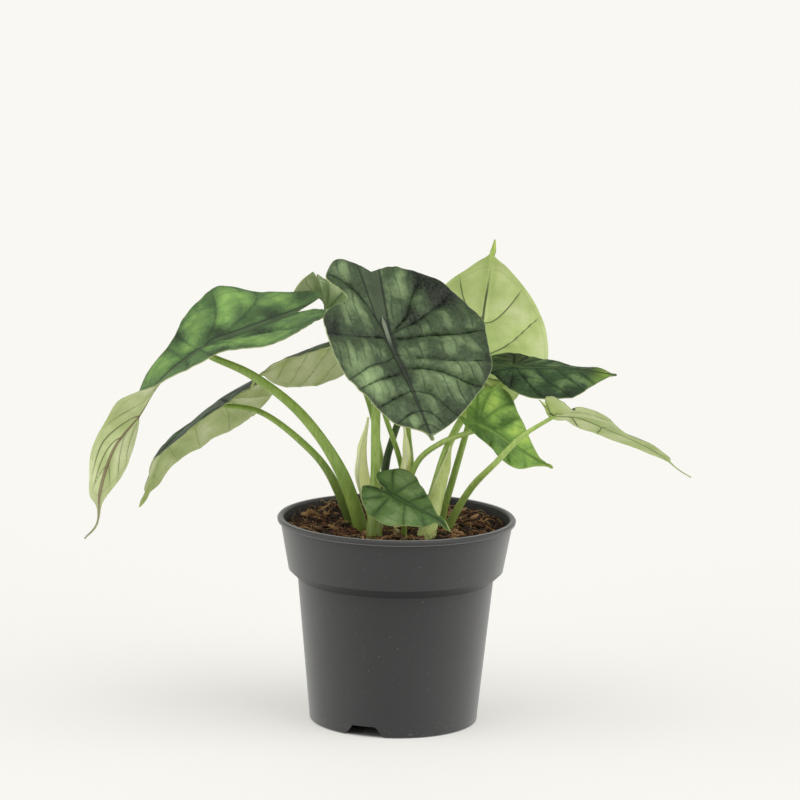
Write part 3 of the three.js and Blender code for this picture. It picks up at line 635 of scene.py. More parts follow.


# Stalks: round, tapered, with lengthwise streaks and painted shade towards the soil

def stalkMaterial(name, body, dark, light, foot, shadeReach):
    mat, tree, shader = startMaterial(name)
    place = objectPlace(tree)
    lengthwise = addNode(tree, "ShaderNodeMapping", None, {"Vector": place, "Scale": (1, 1, 0.12)}).outputs[0]
    streaks = noiseAt(tree, lengthwise, 900, 3, 0.6)
    flecks = noiseAt(tree, place, 380, 4, 0.7)
    clouds = noiseAt(tree, place, 40, 2)
    tone = sums(tree, "ADD", sums(tree, "MULTIPLY", streaks, 0.6), sums(tree, "MULTIPLY", clouds, 0.5))
    colour = ramp(tree, tone, [(0.35, dark), (0.55, body), (0.75, light)])
    colour = blendColours(tree, span(tree, flecks, 0.62, 0.72, 0, 0.35), colour, dark)
    # painted shade: darker towards the soil, where the stalks stand in the leaves' shade
    height = readAttribute(tree, "foot")
    colour = blendColours(tree, span(tree, height, 0, shadeReach, 0.75, 0), colour, foot)
    tree.links.new(colour, shader.inputs["Base Color"])
    shader.inputs["Roughness"].default_value = 0.42
    addBump(tree, shader, streaks, 0.25, 0.3)
    return mat


stalkFinishes = {
    "green": stalkMaterial(
        "stalkGreen", rgb(136, 164, 72), rgb(110, 140, 54), rgb(168, 192, 102), rgb(116, 134, 58), 24),
    # painted light: a lighter copy of the green stalk for the stalks on the lit right side
    "pale": stalkMaterial(
        "stalkPaintedLit", rgb(162, 188, 98), rgb(134, 164, 74), rgb(190, 208, 126), rgb(130, 150, 70), 24),
    "shaded": stalkMaterial(
        "stalkShaded", rgb(150, 178, 84), rgb(114, 144, 58), rgb(176, 200, 108), rgb(44, 62, 24), 50),
    # painted shade: a dark copy of the green stalk for the stalk at the back, in the other leaves' shade
    "dark": stalkMaterial(
        "stalkPaintedShade", rgb(46, 72, 28), rgb(30, 50, 20), rgb(70, 98, 40), rgb(50, 66, 28), 24),
}


def buildTube(name, points, girth, sides, step, endPlane=None):
    # a grid rolled round a curve: x runs round it and y along it
    rings = max(int(curveLength(points)[-1] / step), 4)
    bpy.ops.mesh.primitive_grid_add(x_subdivisions=sides, y_subdivisions=rings, size=2)
    tube = named(name)
    flat = vertexPlaces(tube)
    share = (flat[:, 1] + 1) / 2
    turn = flat[:, 0] * np.pi
    t = evenly(points, share)
    centre = splineAt(points, t)
    ahead = tangentAt(points, t)
    levels = np.linspace(0, 1, rings + 1)
    carried = np.zeros((rings + 1, 3))
    across = np.array([1.0, 0, 0])
    for i, direction in enumerate(tangentAt(points, evenly(points, levels))):
        across = across - direction * np.dot(across, direction)
        across /= np.linalg.norm(across)
        carried[i] = across
    side = carried[np.round(share * rings).astype(int)]
    other = np.cross(ahead, side)
    radius = along(girth, share)
    places = centre + side * (radius * np.cos(turn))[:, None] + other * (radius * np.sin(turn))[:, None]
    if endPlane:
        point, normal = endPlane
        last = share > 1 - 0.5 / rings
        reach = ((point - places[last]) @ normal) / (ahead[last] @ normal)
        places[last] += ahead[last] * reach[:, None]
    moveVertices(tube, places * mm)
    writeAttribute(tube, "foot", places[:, 2] - stemBottom - 12)

    def closeUp():
        bpy.ops.mesh.remove_doubles(threshold=0.01 * mm)
        bpy.ops.mesh.select_all(action="DESELECT")
        bpy.ops.mesh.select_non_manifold()
        bpy.ops.mesh.fill_holes(sides=0)
        bpy.ops.mesh.select_all(action="SELECT")
        bpy.ops.mesh.normals_make_consistent(inside=False)
    editAll(tube, closeUp)
    smooth(tube, 50)
    return tube


def buildStalk(leaf):
    at = np.array([leaf["seat"]])
    point, face, _ = (found[0] for found in ribFrame(leaf, at))
    droop = max(0, *(-along(leaf["fold"][half], at)[0] for half in ("left", "right")))
    tuck = leaf["girth"][-1] * math.tan(math.radians(droop))
    end = point - face * (seatDepth + stalkGap + tuck)
    first, *rest = leaf["petiole"]
    points = [[first[0], first[1], stemBottom], first, *rest]
    if leaf["turn"] > 0:
        points.append(list(end - face * leaf["turn"]))
    points.append(list(end))
    stalk = buildTube("stalk" + leaf["name"], points, leaf["girth"], 24, 1.5, (end, face))
    stalk.data.materials.append(stalkFinishes[leaf["stalk"]])
    finishPiece(stalk, "stalk_dark" if leaf["stalk"] == "dark" else "stalk", "petiole_" + leaf["node"])
    return stalk


def growLeaf(spec):
    leaf = {**leafDefaults, **spec}
    buildBlade(leaf)
    buildStalk(leaf)
    print("grown:", leaf["name"])


growLeaf({
    "name": "Front", "node": "front",
    "rib": [[-15, 12, 226], [-6, -18, 198], [5, -42, 179], [17, -64, 155]],
    "face": [[0.25, -0.6, 0.76], [0.25, -0.6, 0.76], [0.25, -0.6, 0.76]],
    "width": {"left": 44.5, "right": 49},
    "fold": {"left": [14, 22, 10], "right": [0, 4, 10]},
    "nicks": [
        {"half": "left", "at": 0.26, "span": 0.05, "depth": 0.4},
        {"half": "left", "at": 0.1, "span": 0.1, "depth": 0.14},
    ],
    "breadth": {
        "left": [0.3, 0.58, 0.72, 0.76, 0.92, 0.98, 0.85, 0.57, 0.31],
        "right": [0.3, 0.5, 0.84, 1.04, 1.04, 0.99, 0.85, 0.57, 0.31],
    },
    "lobe": {"left": 0.03, "right": 0.03},
    "wave": 1.3, "waves": 5, "seat": 0.38,
    "petiole": [[-11, -17, 98], [-11, -13, 130], [-11, -8, 165]],
    "girth": [5, 3.6, 2.4, 2.3, 2.2, 2],
    "veins": {
        "left": [[0, -3, 0.065], [1.5, 0.1, 0.003], [14, 0.55, 0], [24.5, 0.47, 0], [37.5, 0.4, 0.002],
                 [50, 0.1, 0.02], [58, 0.3, 0.03]],
        "right": [[0, -0.55, -0.043], [0, -0.5, -0.006], [2, -0.1, 0.002], [12, 0.45, -0.003],
                  [22, 0.1, 0.015], [38, 0, 0.07], [50, 0.1, 0.12], [58, 0.3, 0.1]],
    },
    "arms": {"left": [3, 8], "right": [2.2, 4.2]}, "wander": 1.4,
    # painted highlights and painted shade over the leaf's own lighter and darker tissue: place across and ahead of
    # the seat, size, strength
    "paintedLightAndShade": [
        [-24, 36, 9, 0.55], [-20, -13, 9, 0.25], [15, -26, 9, 0.28], [13, -37, 8, 0.15], [34, -9, 8, 0.12],
        [30, 6, 10, 0.15], [38, 14, 8, 0.15], [-26, 23, 10, 0.2], [14, 31, 11, 0.28], [32, 30, 8, 0.12],
        [2, 54, 8, 0.2], [-13, 54, 8, 0.15], [4, 14, 7, 0.12], [-37, 5, 9, -0.35], [32, -28, 9, -0.35],
        [16, -12, 9, -0.4], [-6, 2, 7, -0.2], [20, -38, 7, -0.2], [28, -36, 6, -0.35], [-9, 28, 7, -0.25], [42, -20, 6, -0.1], [-20, -36, 8, 0.25],
        [46, 26, 6, -0.2],
    ],
    "columns": 96, "rows": 160, "top": "dark", "relief": 1.7, "groove": 0.4, "scales": 0.9, "pucker": 0.6,
    "ribWidth": [1.5, 0.35], "ribStart": 0.1,
})

growLeaf({
    "name": "LeftHigh", "node": "left_high",
    "rib": [[-53, 2, 206], [-78, -12, 198], [-96, -20, 192], [-117, -31, 177], [-128, -39, 160],
            [-139, -45, 145], [-145, -52, 125], [-146, -56, 110], [-152, -58, 102]],
    "face": [[0, 0.05, 1], [-0.2, 0, 1], [-0.5, -0.05, 0.85], [-0.8, -0.1, 0.6], [-0.5, 0.8, 0.2],
             [-0.1, 1, -0.1], [-0.1, 1, 0]],
    "width": {"left": 34, "right": 33},
    "breadth": {
        "left": [0.24, 0.43, 0.93, 0.9, 0.47, 0.55, 0.6, 0.44, 0.17],
        "right": [0.46, 0.6, 0.9, 0.85, 0.8, 0.62, 0.33, 0.32, 0.25],
    },
    "fold": {"left": [28, 38, 32, 8, 30, 50, 55], "right": [-6, -8, -5, 5, 30, 55, 55]},
    "wave": 0.7, "waves": 5, "seat": 0.3, "lobe": {"left": 0.11, "right": 0.06}, "tail": 0.1, "bow": 0.45,
    "petiole": [[-17, -7, 96], [-28.5, -10, 129], [-48, -14, 157.5], [-72, -17, 177]],
    "girth": [4, 3.4, 2.6, 2.2, 1.6],
    "veins": {
        "left": [[0, -3.3, 0.065], [0, -1, 0.012], [4, 0.1, 0], [13, -0.1, 0.01], [30, 0.2, 0.05],
                 [45, 0.3, 0.1], [61, 0.3, 0.13], [78, 0.4, 0.2]],
        "right": [[0, -3.3, 0.065], [0, -1, 0.012], [3, 0.1, 0], [13, 0.1, 0.01], [34, 0.3, 0.3],
                  [50, 0.5, 0.5], [64, 1, 0.8], [80, 0.5, 0.3]],
    },
    "arms": {"left": [2.5, 2], "right": [2.5, 3]}, "wander": 1,
    # painted highlights and painted shade over the leaf's own lighter and darker tissue
    "paintedLightAndShade": [
        [-17, -20, 6, 0.5], [-23, -27, 6, 0.3], [-12, -13, 5, 0.35], [-15, -2, 6, 0.45], [-7, 4, 5, 0.35],
        [-20, -8, 5, 0.15], [-9, 14, 8, 0.2], [-20, -36, 7, 0.2], [-16, -44, 8, 0.15], [-10, -52, 9, 0.15],
        [-6, 24, 9, 0.15], [14, -11, 7, 0.3], [18, -23, 8, 0.25], [18, -38, 9, 0.15], [-24, -15, 5, -0.35],
        [-9, -7, 6, -0.3], [-8, -28, 7, -0.25], [-2, -12, 6, -0.2], [-18, 6, 6, -0.3], [-3, -40, 6, -0.3],
        [-10, -60, 6, -0.25], [23, 0, 6, -0.3], [6, -28, 6, -0.35], [3, 10, 6, -0.25],
    ],
    "rows": 170, "columns": 76, "top": "bright", "under": "tipped", "pucker": 0.45, "relief": 0.8,
    "groove": 0.15, "scales": 0.2,
})

growLeaf({
    "name": "LeftLow", "node": "left_low",
    "rib": [[-74, 24, 168], [-89, 24, 159], [-101, 28, 149], [-118, 34, 133], [-127, 40, 111],
            [-132, 40, 98]],
    "face": [[-0.3, 0.3, 1], [-0.7, 0.4, 0.7], [-0.8, 0.5, 0.2]],
    "width": {"left": 28, "right": 26},
    "breadth": {"left": [0.7, 0.84, 1.11, 1.08, 0.98, 0.88, 0.62, 0.3, 0.17], "right": ovate},
    "tailWidth": 0.09, "laterals": [[0, 0.3], [0.25, 0.5], [0.5, 0.7], [0.75, 0.9]],
    "fold": {"left": [-20, -20, -20], "right": [-20, -22, -20]},
    "wave": 0.6, "waves": 5, "seat": 0.2, "tail": 0.07,
    "petiole": [[-22, 8, 95], [-34, 4, 124], [-49, 4, 141], [-69, 10, 154]],
    "turn": 2, "stalk": "shaded",
    "girth": [3.1, 2.4, 1.8, 1.5, 1.2],
    "top": "deep", "slot": "leaf_pale",
})

growLeaf({
    "name": "LeftMid", "node": "left_mid",
    "rib": [[-8, 22, 196], [-20, 14, 194.5], [-42, 4, 189.5], [-62, -5, 181], [-71, -8, 175],
            [-74, -8, 168]],
    "face": [[0, 0.3, 1], [-0.1, 0.4, 1], [-0.5, 0.5, 0.8]],
    "width": {"left": 29, "right": 22},
    "breadth": {"left": [0.3, 0.56, 0.95, 1.2, 1.14, 1.03, 0.85, 0.58, 0.32], "right": ovate},
    "fold": {"left": [-30, -30, -20], "right": [-16, -16, -12]}, "wave": 0.5,
    "seat": 0.2, "tail": 0.12,
    "petiole": [[6, 8, 95], [2, 6, 128], [-7, 6, 155], [-14, 9, 178]],
    # a broad patch of painted light
    "girth": [2.2, 1.4, 1.2, 1.1], "paintedLightAndShade": [[-12, 24, 26, 0.4]],
    "top": "deep", "slot": "leaf_pale",
})

growLeaf({
    "name": "BackCurl", "node": "back_curl",
    "rib": [[-42, 32, 219], [-40, 35, 212], [-38, 38, 204], [-31, 42, 192], [-26, 44, 183]],
    "face": [[-0.3, 1, 0.2], [-0.3, 1, 0.1], [-0.3, 1, 0]],
    "width": {"left": 22, "right": 20},
    "breadth": {
        "left": [0.03, 0.08, 0.3, 0.6, 0.8, 0.8, 0.6, 0.4, 0.2],
        "right": [0.08, 0.45, 0.72, 0.1, 0.05, 0.3, 0.5, 0.4, 0.2],
    },
    "fold": {"left": [40, 0, -10], "right": [0, 10, 50, 80, 86]}, "wave": 0.5, "bow": 0.3,
    "laterals": [[0, 0.1], [0.3, 0.3], [0.6, 0.6]], "fan": {"left": [70, 35], "right": [50, 25]},
    "seat": 0.45, "lobe": {"left": 0.06, "right": 0.12},
    "petiole": [[-2, 20, 95], [-8, 25, 127], [-16, 33, 158], [-30, 37, 188]],
    "girth": [2.2, 1.4, 1.2, 1.1],
    "rows": 100, "columns": 52, "slot": "leaf_pale", "under": "curled",
})

growLeaf({
    "name": "BackLow", "node": "back_low",
    "rib": [[-4, 30, 163], [2, 38, 164], [7, 48, 160], [10, 60, 153], [10, 66, 146]],
    "face": [[0, 0.2, 1], [0, 0.6, 0.8], [0, 1, 0.3]],
    "width": {"left": 20, "right": 20},
    "fold": {"left": [-10], "right": [-10]},
    "seat": 0.3, "tail": 0.06,
    "petiole": [[-8, 10, 96], [-6, 10, 127], [-3, 14, 140], [2, 24, 154]],
    "girth": [3, 2, 1.8, 1.5],
    "rows": 100, "columns": 52, "stalk": "dark",
})

growLeaf({
    "name": "BackUpright", "node": "back_upright",
    "rib": [[43, 18, 162], [41, 22, 169], [42, 34, 199], [45, 36, 222], [46, 34, 231], [47, 30, 241]],
    "face": [[0.1, 1, -0.1], [0.1, 1, -0.1], [0.1, 1, 0.2]],
    "width": {"left": 33, "right": 33},
    "fold": {"left": [6], "right": [6]},
    "seat": 0.14, "lobe": {"left": 0.1, "right": 0.1}, "tail": 0.07,
    "breadth": {
        "left": [0.24, 0.5, 0.8, 0.98, 0.95, 0.85, 0.61, 0.3, 0.07],
        "right": [0.24, 0.5, 0.86, 1.02, 1.01, 0.9, 0.67, 0.31, 0.04],
    },
    "wave": 0.4,
    "petiole": [[23, 9, 102], [27.5, 9, 120], [35, 11, 148], [40, 16, 166]],
    "girth": [2.8, 1.8, 1.6, 1.4],
    "veins": {
        "left": [[0, -1.2, 0], [0, -0.3, 0.01], [11, 0.45, 0.02], [31, -0.5, 0.11]],
        "right": [[0, -1.2, 0], [0, -0.3, 0.01], [10, 0.3, 0.02], [28, -0.2, 0.08]],
    },
    "under": "veined", "slot": "leaf_pale", "relief": 0.5, "scales": 0.1, "wander": 0.6, "groove": 0.1,
    "columns": 76,
})

growLeaf({
    "name": "RightDark", "node": "right_dark",
    "rib": [[42, 6, 180], [62, -4, 182], [78, -10, 183], [95, -12, 182], [108, -12, 180]],
    "face": [[0, -0.4, 0.92], [0, -0.4, 0.92], [0, -0.4, 0.92]],
    "width": {"left": 20, "right": 18},
    "breadth": {
        "left": [0.05, 0.1, 0.3, 0.76, 1.01, 1.07, 0.98, 0.48, 0.21],
        "right": [0.5, 0.8, 0.93, 0.84, 0.68, 0.47, 0.35, 0.3, 0.24],
    },
    "fold": {"left": [-14], "right": [-6, -8, -14, -20, -10]}, "wave": 0.5,
    "seat": 0.25,
    "petiole": [[14, -14, 97], [19, -8, 119], [25, 0, 140], [37, 6, 160]],
    "girth": [4, 3, 2, 1.8, 1.5], "stalk": "pale",
    "laterals": [[0, 0.8], [0.2, 0.9], [0.4, 1], [0.6, 1.1], [0.78, 1.2]], "bend": 0.01,
    # painted highlights and painted shade over the leaf's own lighter and darker tissue
    "paintedLightAndShade": [
        [11, -13, 8, -0.25], [13, -5, 7, -0.2], [2, 21, 5, 0.4], [8, 12, 5, 0.2], [-11, 2, 4, -0.3],
        [-10, 14, 5, 0.4], [-14, 20, 4, -0.25], [-13, 25, 4, 0.25], [-8, 33, 6, 0.15], [-15, 7, 4, 0.2],
    ],
    "top": "deep", "under": "veined", "relief": 1, "columns": 72,
})

growLeaf({
    "name": "RightYoung", "node": "right_young",
    "rib": [[34, -8, 156], [37, -12, 155], [46, -18, 152], [58, -22, 145], [70, -22, 138],
            [77, -20, 134]],
    "face": [[0.25, -0.9, 0.2], [0.25, -0.9, 0.2], [0.35, -0.8, 0.35]],
    "width": {"left": 9, "right": 25.5},
    "lobe": {"left": 0.16, "right": 0.16},
    "breadth": {
        "left": [0.15, 0.25, 0.46, 0.7, 0.8, 1.05, 1, 0.4, 0.12],
        "right": [0.5, 0.84, 0.83, 0.83, 0.6, 0.43, 0.23, 0.06, 0.04],
    },
    "wave": 0.5, "seat": 0.16,
    "petiole": [[2, -3, 96], [8, 0, 128], [21, -2, 142]],
    "girth": [2.4, 1.6, 1.4, 1.2], "stalk": "pale",
    # painted highlights and painted shade over the leaf's own lighter and darker tissue
    "paintedLightAndShade": [
        [15, 3, 4, 0.25], [10, 7, 4, 0.25], [20, 6, 4, -0.6], [17, -4, 5, 0.1], [5, 16, 4, 0.25],
        [6, 24, 5, 0.45], [0, 32, 6, 0.5], [-5, 6, 5, -0.45], [-5, 12, 5, -0.35], [8, 10.5, 4, -0.45],
        [2, 2, 6, -0.3], [-4, 20, 5, -0.25],
    ],
    "top": "young", "under": "veined", "slot": "leaf_young",
})

growLeaf({
    "name": "FarRight", "node": "far_right",
    "rib": [[73, -34, 167.5], [77, -34, 163.5], [88, -30, 162.5], [103, -18, 155], [121.2, 3, 144.2],
            [133.6, 20, 134.6], [141.3, 34, 125.9], [151, 50, 116.8]],
    "face": [[0.4, 0.6, 0.9], [0.4, 0.6, 0.9], [0.2, 0.9, 0.6]],
    "width": {"left": 16, "right": 12},
    "breadth": {
        "left": [0.6, 1.2, 1.9, 1.05, 0.58, 0.4, 0.3, 0.2, 0.1],
        "right": [0.12, 0.1, 0.61, 1, 1.05, 1.05, 0.65, 0.5, 0.15],
    },
    "fold": {"left": [-10], "right": [-10]},
    "wave": 0.3, "seat": 0.04, "tail": 0.2,
    "petiole": [[25, 0, 96], [36, -8, 119.4], [48.6, -28.5, 138], [61.1, -35, 152.6]],
    "turn": 0, "stalk": "pale",
    "girth": [2.6, 1.8, 1.5, 1],
    "veins": {
        "left": [[0, -2.5, 0.06], [0, -0.2, 0.03], [30, 1, 0]],
        "right": [[0, -1, 0], [8, 1, 0.05], [30, 1, 0]],
    },
    "arms": {"left": [0.5, 1], "right": [0.5, 1]},
    "relief": 0.3, "scales": 0.05, "groove": 0.05, "pucker": 0.15, "wander": 0.4,
    "top": "deep", "under": "veined", "slot": "leaf_pale",
})

growLeaf({
    "name": "Small", "node": "small",
    "rib": [[-6, -31, 123.5], [-3, -33, 122], [2.5, -38, 120], [11.5, -44, 116.5], [21, -48, 112.5],
            [26, -49, 107]],
    "face": [[0.1, -0.7, 0.7], [0.1, -0.7, 0.7], [0.1, -0.7, 0.7]],
    "width": {"left": 16, "right": 15},
    "seat": 0.12, "lobe": {"left": 0.24, "right": 0.24}, "tail": 0.19, "tailWidth": 0.14, "bow": 0.3,
    "breadth": {
        "left": [0.35, 0.78, 1.03, 1.12, 1.08, 0.93, 0.7, 0.46, 0.4],
        "right": [0.42, 1.02, 1.08, 0.98, 0.83, 0.66, 0.5, 0.25, 0.14],
    },
    "petiole": [[4, -18, 96], [3, -23, 108]],
    "girth": [2, 1.3, 1.1],
    "fan": {"left": [75, 42], "right": [75, 42]}, "laterals": [[0, 0], [0.25, 0.5], [0.5, 0.8], [0.75, 1]],
    "arms": {"left": [1, 2], "right": [1, 2]}, "wander": 0.7,
    "rows": 110, "columns": 60, "top": "small", "relief": 0.7, "groove": 0.15, "scales": 0.15, "pucker": 0.2,
})


# The spear, a leaf still rolled

spear = {
    "path": [[8, 16, stemBottom], [8, 16, 100], [7, 16, 125], [5, 14, 146], [4, 13, 168]],
    "girth": [2.4, 1.8, 1.6, 1.4, 0.6],
}
spearPiece = buildTube("spearRolled", spear["path"], spear["girth"], 24, 1.2)
spearPiece.data.materials.append(stalkFinishes["green"])
finishPiece(spearPiece, "stalk", "spear")


# Sheaths: papery collars standing open round the stalks

def paperMaterial(name, dark, body, light):
    mat, tree, shader = startMaterial(name)
    place = objectPlace(tree)
    lengthwise = addNode(tree, "ShaderNodeMapping", None, {"Vector": place, "Scale": (1, 1, 0.1)}).outputs[0]
    fibres = noiseAt(tree, lengthwise, 1400, 3, 0.6)
    clouds = noiseAt(tree, place, 90, 3)
    tone = sums(tree, "ADD", sums(tree, "MULTIPLY", fibres, 0.5), sums(tree, "MULTIPLY", clouds, 0.5))
    colour = ramp(tree, tone, [(0.35, dark), (0.5, body), (0.68, light)])
    margin = readAttribute(tree, "edgeGap")
    colour = blendColours(tree, span(tree, margin, 0, 0.9, 0.8, 0), colour, rgb(226, 228, 190))
    tree.links.new(colour, shader.inputs["Base Color"])
    shader.inputs["Roughness"].default_value = 0.55
    addBump(tree, shader, fibres, 0.3, 0.25)
    return mat


# painted light: the pale finish is brightened to stand in for light shining through the thin sheaths; the green one
# is a darker copy for the sheath in shade
sheathFinishes = {
    "pale": paperMaterial("sheathPaintedBacklit", rgb(240, 246, 168), rgb(250, 252, 194), rgb(254, 254, 224)),
    "green": paperMaterial("sheathPaintedShade", rgb(166, 184, 100), rgb(188, 204, 122), rgb(212, 222, 160)),
}
sheathThickness = 0.7
sheathFoot = 90


def buildSheath(spec):
    bpy.ops.mesh.primitive_grid_add(x_subdivisions=30, y_subdivisions=60, size=2)
    sheath = named(spec["name"])
    flat = vertexPlaces(sheath)
    share = (flat[:, 1] + 1) / 2
    across = (flat[:, 0] + 1) / 2
    centre = splineAt(spec["path"], share)
    radius = along(spec["radius"], share)
    start = spec["foot"][0] + (spec["top"][0] - spec["foot"][0]) * share
    end = spec["foot"][1] + (spec["top"][1] - spec["foot"][1]) * share
    turn = np.radians(start + (end - start) * across)
    frill = 0.25 * np.sin(share * 21 + across * 4) * np.abs(2 * across - 1) ** 3
    places = centre.copy()
    places[:, 0] += (radius + frill) * np.cos(turn)
    places[:, 1] += (radius + frill) * np.sin(turn)
    moveVertices(sheath, places * mm)
    gap = np.minimum(across, 1 - across) * radius * np.radians(end - start)
    solidify = sheath.modifiers.new("thickness", "SOLIDIFY")
    solidify.thickness = sheathThickness * mm
    solidify.offset = 0
    applyModifiers(sheath)
    writeAttribute(sheath, "edgeGap", np.tile(gap, 2))
    sheath.data.materials.append(sheathFinishes[spec["finish"]])
    smooth(sheath, 60)
    finishPiece(sheath, "sheath", spec["node"])


buildSheath({
    "name": "sheathLeft", "node": "sheath_left",
    "path": [[-8, -3, sheathFoot], [-9.5, -2.5, 104], [-12.5, -1.5, 114], [-15, -0.5, 125],
             [-15.5, 0, 137], [-14.5, 1, 154]],
    "radius": [4.2, 5, 5.6, 6, 4.6, 1],
    "foot": [60, 215], "top": [100, 230], "finish": "pale",
})
buildSheath({
    "name": "sheathMid", "node": "sheath_mid",
    "path": [[2, -3, sheathFoot], [4.5, -2, 112], [6, 0, 126], [6.5, 1, 137], [3.5, 2, 149]],
    "radius": [4.2, 4.2, 4.6, 3.8, 0.8],
    "foot": [70, 250], "top": [100, 240], "finish": "pale",
})
buildSheath({
    "name": "sheathRight", "node": "sheath_right",
    "path": [[13, -14.5, sheathFoot], [16, -12, 105], [19.5, -8, 119], [22, -5, 128], [26, -3, 141]],
    "radius": [5.4, 4.9, 4.3, 3.8, 1],
    "foot": [-150, 70], "top": [-100, 40], "finish": "green",
})
print("spear and sheaths made")


# The pot

potLow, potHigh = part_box("pot")
rimRadius = (potHigh.x - potLow.x) / 2 / mm
potHeight = potHigh.z / mm
pot = {
    "collarRadius": 54, "collarDepth": 26.5, "shoulderRadius": 49.3, "shoulderDrop": 4.5,
    "footRadius": 42.3, "wall": 1.5, "floor": 6, "footRing": 3, "lipHeight": 3, "lipWidth": 3.2,
    "lipOverhang": 1.7, "notchHeight": 5.5, "notchTop": 12, "notchBottom": 19, "firstNotch": 250,
    "drainRadius": 3.5, "drainCircle": 29,
}


def potMaterial(name, gloss, sheen):
    mat, tree, shader = startMaterial(name)
    place = objectPlace(tree)
    clouds = noiseAt(tree, place, 18, 3)
    grain = noiseAt(tree, place, 2600, 2, 0.5)
    dust = noiseAt(tree, place, 900, 2, 0.6)
    scuffs = noiseAt(tree, place, 420, 5, 0.75)
    colour = ramp(tree, clouds, [(0.3, rgb(24, 24, 26)), (0.7, rgb(32, 32, 34))])
    colour = blendColours(tree, span(tree, dust, 0.7, 0.76, 0, 0.4), colour, rgb(150, 148, 142))
    colour = blendColours(tree, span(tree, scuffs, 0.62, 0.8, 0, 0.25), colour, rgb(96, 94, 90))
    # the foot is scraped
    height = addNode(tree, "ShaderNodeSeparateXYZ", None, {0: place}).outputs[2]
    scrape = noiseAt(tree, addNode(tree, "ShaderNodeVectorMath", {"operation": "MULTIPLY"},
                                   {0: place, 1: (1, 1, 6)}).outputs[0], 190, 5, 0.8)
    foot = sums(tree, "MULTIPLY", span(tree, height, 2 * mm, 9 * mm, 0.8, 0), span(tree, scrape, 0.56, 0.72))
    colour = blendColours(tree, foot, colour, rgb(128, 124, 118))
    tree.links.new(colour, shader.inputs["Base Color"])
    tree.links.new(span(tree, clouds, 0.3, 0.7, 0.34, 0.42), shader.inputs["Roughness"])
    shader.inputs["Specular IOR Level"].default_value = gloss
    shader.inputs["Sheen Weight"].default_value = sheen
    shader.inputs["Sheen Roughness"].default_value = 0.6
    addBump(tree, shader, grain, 0.12, 0.1)
    return mat


def innerWallMaterial():
    # the inside of the wall, dark, with brown smears
    mat, tree, shader = startMaterial("potInnerWall")
    smears = noiseAt(tree, objectPlace(tree), 240, 5, 0.7)
    stops = [(0.35, rgb(18, 14, 11)), (0.6, rgb(38, 34, 31)), (0.75, rgb(84, 62, 44))]
    tree.links.new(ramp(tree, smears, stops), shader.inputs["Base Color"])
    shader.inputs["Roughness"].default_value = 0.7
    addBump(tree, shader, smears, 0.4, 0.3)
    return mat


def potProfile():
    collar = potHeight - pot["collarDepth"]
    shoulder = collar - pot["shoulderDrop"]
    foot = pot["footRadius"]
    wall = pot["wall"]
    rise = (pot["shoulderRadius"] - foot) * pot["floor"] / shoulder
    return [
        (0, pot["floor"] - wall), (foot - pot["footRing"] - 0.5, pot["floor"] - wall),
        (foot - pot["footRing"], 0), (foot - 0.6, 0), (foot, 0.6),
        (pot["shoulderRadius"], shoulder), (pot["collarRadius"], collar),
        (rimRadius - pot["lipOverhang"], potHeight - pot["lipHeight"]),
        (rimRadius - 0.2, potHeight - pot["lipHeight"] + 0.7), (rimRadius, potHeight - 1),
        (rimRadius - 0.8, potHeight), (rimRadius - 2.4, potHeight),
        (rimRadius - pot["lipWidth"], potHeight - 0.9), (pot["collarRadius"] - wall, collar + 0.5),
        (pot["shoulderRadius"] - wall, shoulder + 1), (foot + rise - wall, pot["floor"]), (0, pot["floor"]),
    ]


